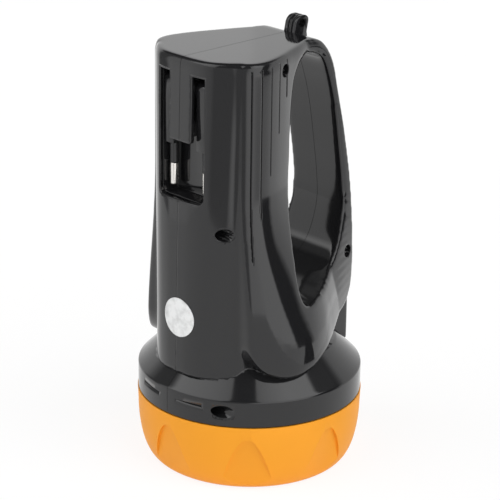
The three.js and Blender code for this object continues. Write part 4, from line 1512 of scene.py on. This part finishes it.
@dataclass
class Studio:
    """A pale table with a dark card, a room of soft light, and the camera at the photograph's place."""

    azimuth: float = 44.39
    elevation: float = 20.39
    roll: float = 0.77
    target_height: float = 96.54
    target_shift: float = -0.47
    distance: float = 1000
    focal: float = 2230.9 / 500 * 36
    # How far each sheet reaches nearer, behind, to the left and to the right in metres, and its grey.
    table: tuple[float, ...] = (0.36, 2.6, 0.4, 0.16, 0.9)
    card: tuple[float, ...] = (0.05, 0.01, -0.1602, 0.33, 0.025)
    glow: float = 1.06
    mirrored: float = 0.8
    backdrop: float = 1.05
    wall_level: float = 1.15
    lean: float = 0.65
    lean_foot: float = 42
    lean_most: float = 38
    ceiling: float = 0.12
    low_ring: tuple[Pair, ...] = (
        (-180, 1.05), (-132, 1.1), (-120, 0.3), (-104, 0.35), (-97, 1.2), (-75, 1.1), (-36, 0.8), (-28, 0.5),
        (-2, 0.5), (6, 1.6), (40, 1.9), (88, 1.9), (92, 0.03), (118, 0.03), (128, 1.0), (180, 0.95),
    )
    high_ring: tuple[Pair, ...] = (
        (-180, 0.06), (-130, 0.08), (-118, 0.25), (-104, 0.3), (-98, 2.4), (-60, 2.0), (-31, 1.55), (-28, 0.1),
        (11.5, 0.1), (14, 1.6), (60, 2.5), (89, 2.4), (92, 0.25), (125, 0.2), (132, 0.1), (180, 0.06),
    )

    def camera(self) -> None:
        """Puts the camera."""
        a, e, t = (math.radians(v) for v in (self.azimuth, self.elevation, self.roll))
        back = Vector((-math.sin(a) * math.cos(e), -math.cos(a) * math.cos(e), math.sin(e)))
        right = Vector((math.cos(a), -math.sin(a), 0))
        up = back.cross(right)
        right, up = math.cos(t) * right + math.sin(t) * up, math.cos(t) * up - math.sin(t) * right
        lens = bpy.data.cameras.new("camera")
        lens.lens = self.focal
        lens.sensor_width = 36
        lens.sensor_fit = "HORIZONTAL"
        lens.clip_end = 10
        camera = bpy.data.objects.new("camera", lens)
        bpy.context.collection.objects.link(camera)
        place = (Vector((0, 0, self.target_height)) + self.target_shift * right + self.distance * back) * MM
        camera.matrix_world = Matrix.Translation(place) @ Matrix((right, up, back)).transposed().to_4x4()
        bpy.context.scene.camera = camera

    def sheet(self, name: str, near: float, behind: float, left: float, right: float, grey: float) -> None:
        """One flat sheet on the ground, turned to the camera, which shows white.

        Args:
            name: The sheet's name.
            near: How far it reaches towards the camera.
            behind: How far it reaches away from the camera.
            left: How far it reaches to the left.
            right: How far it reaches to the right.
            grey: Its own colour. A pale sheet also shows white in a mirror.
        """
        bpy.ops.object.select_all(action="DESELECT")
        bpy.ops.mesh.primitive_plane_add(size=1, location=(0, 0, 0))
        sheet = settled(name)
        turn = Matrix.Rotation(math.radians(-self.azimuth), 4, "Z")
        shift = Matrix.Translation(((right - left) / 2, (behind - near) / 2, 0))
        sheet.data.transform(turn @ shift @ Matrix.Diagonal((left + right, near + behind, 1, 1)))
        material = bpy.data.materials.new(f"{name}_top")
        material.use_nodes = True
        bench = Bench(material.node_tree)
        diffuse = bench.node("ShaderNodeBsdfDiffuse", {"Color": (grey, grey, grey, 1)})
        glow = bench.node("ShaderNodeEmission", {"Color": (1, 1, 1, 1), "Strength": self.glow})
        share = self.seen(bench) * self.mirrored if grey > 0.5 else self.ray(bench, "Camera")
        mix = bench.node("ShaderNodeMixShader", {0: share, 1: diffuse.outputs[0], 2: glow.outputs[0]})
        bench.node("ShaderNodeOutputMaterial", {"Surface": mix.outputs[0]})
        sheet.data.materials.append(material)

    def floor(self) -> None:
        """The pale table, which keeps a soft shadow, and a dark card to its right."""
        self.sheet("table", *self.table)
        self.sheet("card", *self.card)

    def ray(self, bench: Bench, kind: str) -> Wire:
        """One for rays of a kind, and zero for others."""
        return bench.read("ShaderNodeLightPath", output=f"Is {kind} Ray")

    def seen(self, bench: Bench) -> Wire:
        """One for what the camera, a mirror or a clear piece sees, and zero for light."""
        return (self.ray(bench, "Camera") + self.ray(bench, "Glossy") + self.ray(bench, "Transmission")).held()

    def world(self) -> None:
        """The light all round: two rings of levels, a ceiling, and white for the camera itself."""
        world = bpy.data.worlds.new("room")
        world.use_nodes = True
        bpy.context.scene.world = world
        bench = Bench(world.node_tree)
        a, degrees = math.radians(self.azimuth), 180 / math.pi
        look = bench.read("ShaderNodeTexCoord", output="Generated")

        def along(way: Triple) -> Wire:
            """How far the look goes one way."""
            return bench.read("ShaderNodeVectorMath", {0: look, 1: way}, "Value", operation="DOT_PRODUCT")

        def ramped(angle: Wire, start: float, width: float) -> Wire:
            """Zero up to an angle, and one from a width further on."""
            return ((angle - start) * (1 / width)).held()

        rise = along((0, 0, 1)).joined("ARCSINE", 0.0) * degrees
        front = along((-math.sin(a), -math.cos(a), 0))
        around = along((math.cos(a), -math.sin(a), 0)).joined("ARCTAN2", front) * degrees
        shift = ((self.lean_foot - rise) * self.lean).joined("MINIMUM", rise * 1.3 + self.lean_most)
        right = ramped(around, 20, 35)
        beyond = (rise * -1 - 15).held() * right
        low = self.ring(bench, around + right * shift, self.low_ring)
        low = low + beyond * (self.wall_level - low)
        high = self.ring(bench, around, self.high_ring)
        up, over = ramped(rise, 27, 9), ramped(rise, 70, 6)
        room = low * (1 - up) + high * (up - over) + over * self.ceiling
        level = room + self.ray(bench, "Camera") * (self.backdrop - room)
        shade = bench.node("ShaderNodeBackground", {"Color": (1, 1, 1, 1), "Strength": level})
        bench.node("ShaderNodeOutputWorld", {"Surface": shade.outputs[0]})

    def ring(self, bench: Bench, around: Wire, stops: Outline) -> Wire:
        """A level all round the lamp, from stops of an angle and a level.

        Args:
            bench: The world's bench.
            around: The angle round the lamp in degrees.
            stops: Angles, each with its level.

        Returns:
            The level.
        """
        full = max(level for _, level in stops)
        node = bench.node("ShaderNodeValToRGB", {0: (around + 180) * (1 / 360)})
        ramp = node.color_ramp.elements
        while len(ramp) < len(stops):
            ramp.new(0.5)
        for element, (angle, level) in zip(ramp, stops):
            element.position = (angle + 180) / 360
            element.color = (*[level / full] * 3, 1)
        return Wire(bench, node.outputs[0]) * full

    def build(self) -> None:
        """Makes the studio."""
        self.camera()
        self.floor()
        self.world()
        bpy.context.scene.view_settings.view_transform = "Standard"


def main() -> None:
    """Builds the lamp, dresses it and sets the studio."""
    logging.basicConfig(level=logging.INFO, format="%(name)s %(message)s")
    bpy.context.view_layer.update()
    Studio().build()
    finishes = Finishes()
    maker = Maker(finishes)
    case = Case()
    for side, half in case.build().items():
        maker.hand_over(half, "black_gloss", "case", [f"{side.name.lower()}_housing"])
    LightUnit().build(maker)
    FoldingPlug().build(maker)
    CaseScrews().build(maker, case.wells)
    GripSwitch().build(maker)
    Seal().build(maker, case.surface)
    discard(case.surface)
    for node, slot in INNER_PARTS.items():
        finishes.onto(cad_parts[node], slot)


if __name__ == "__main__":
    main()
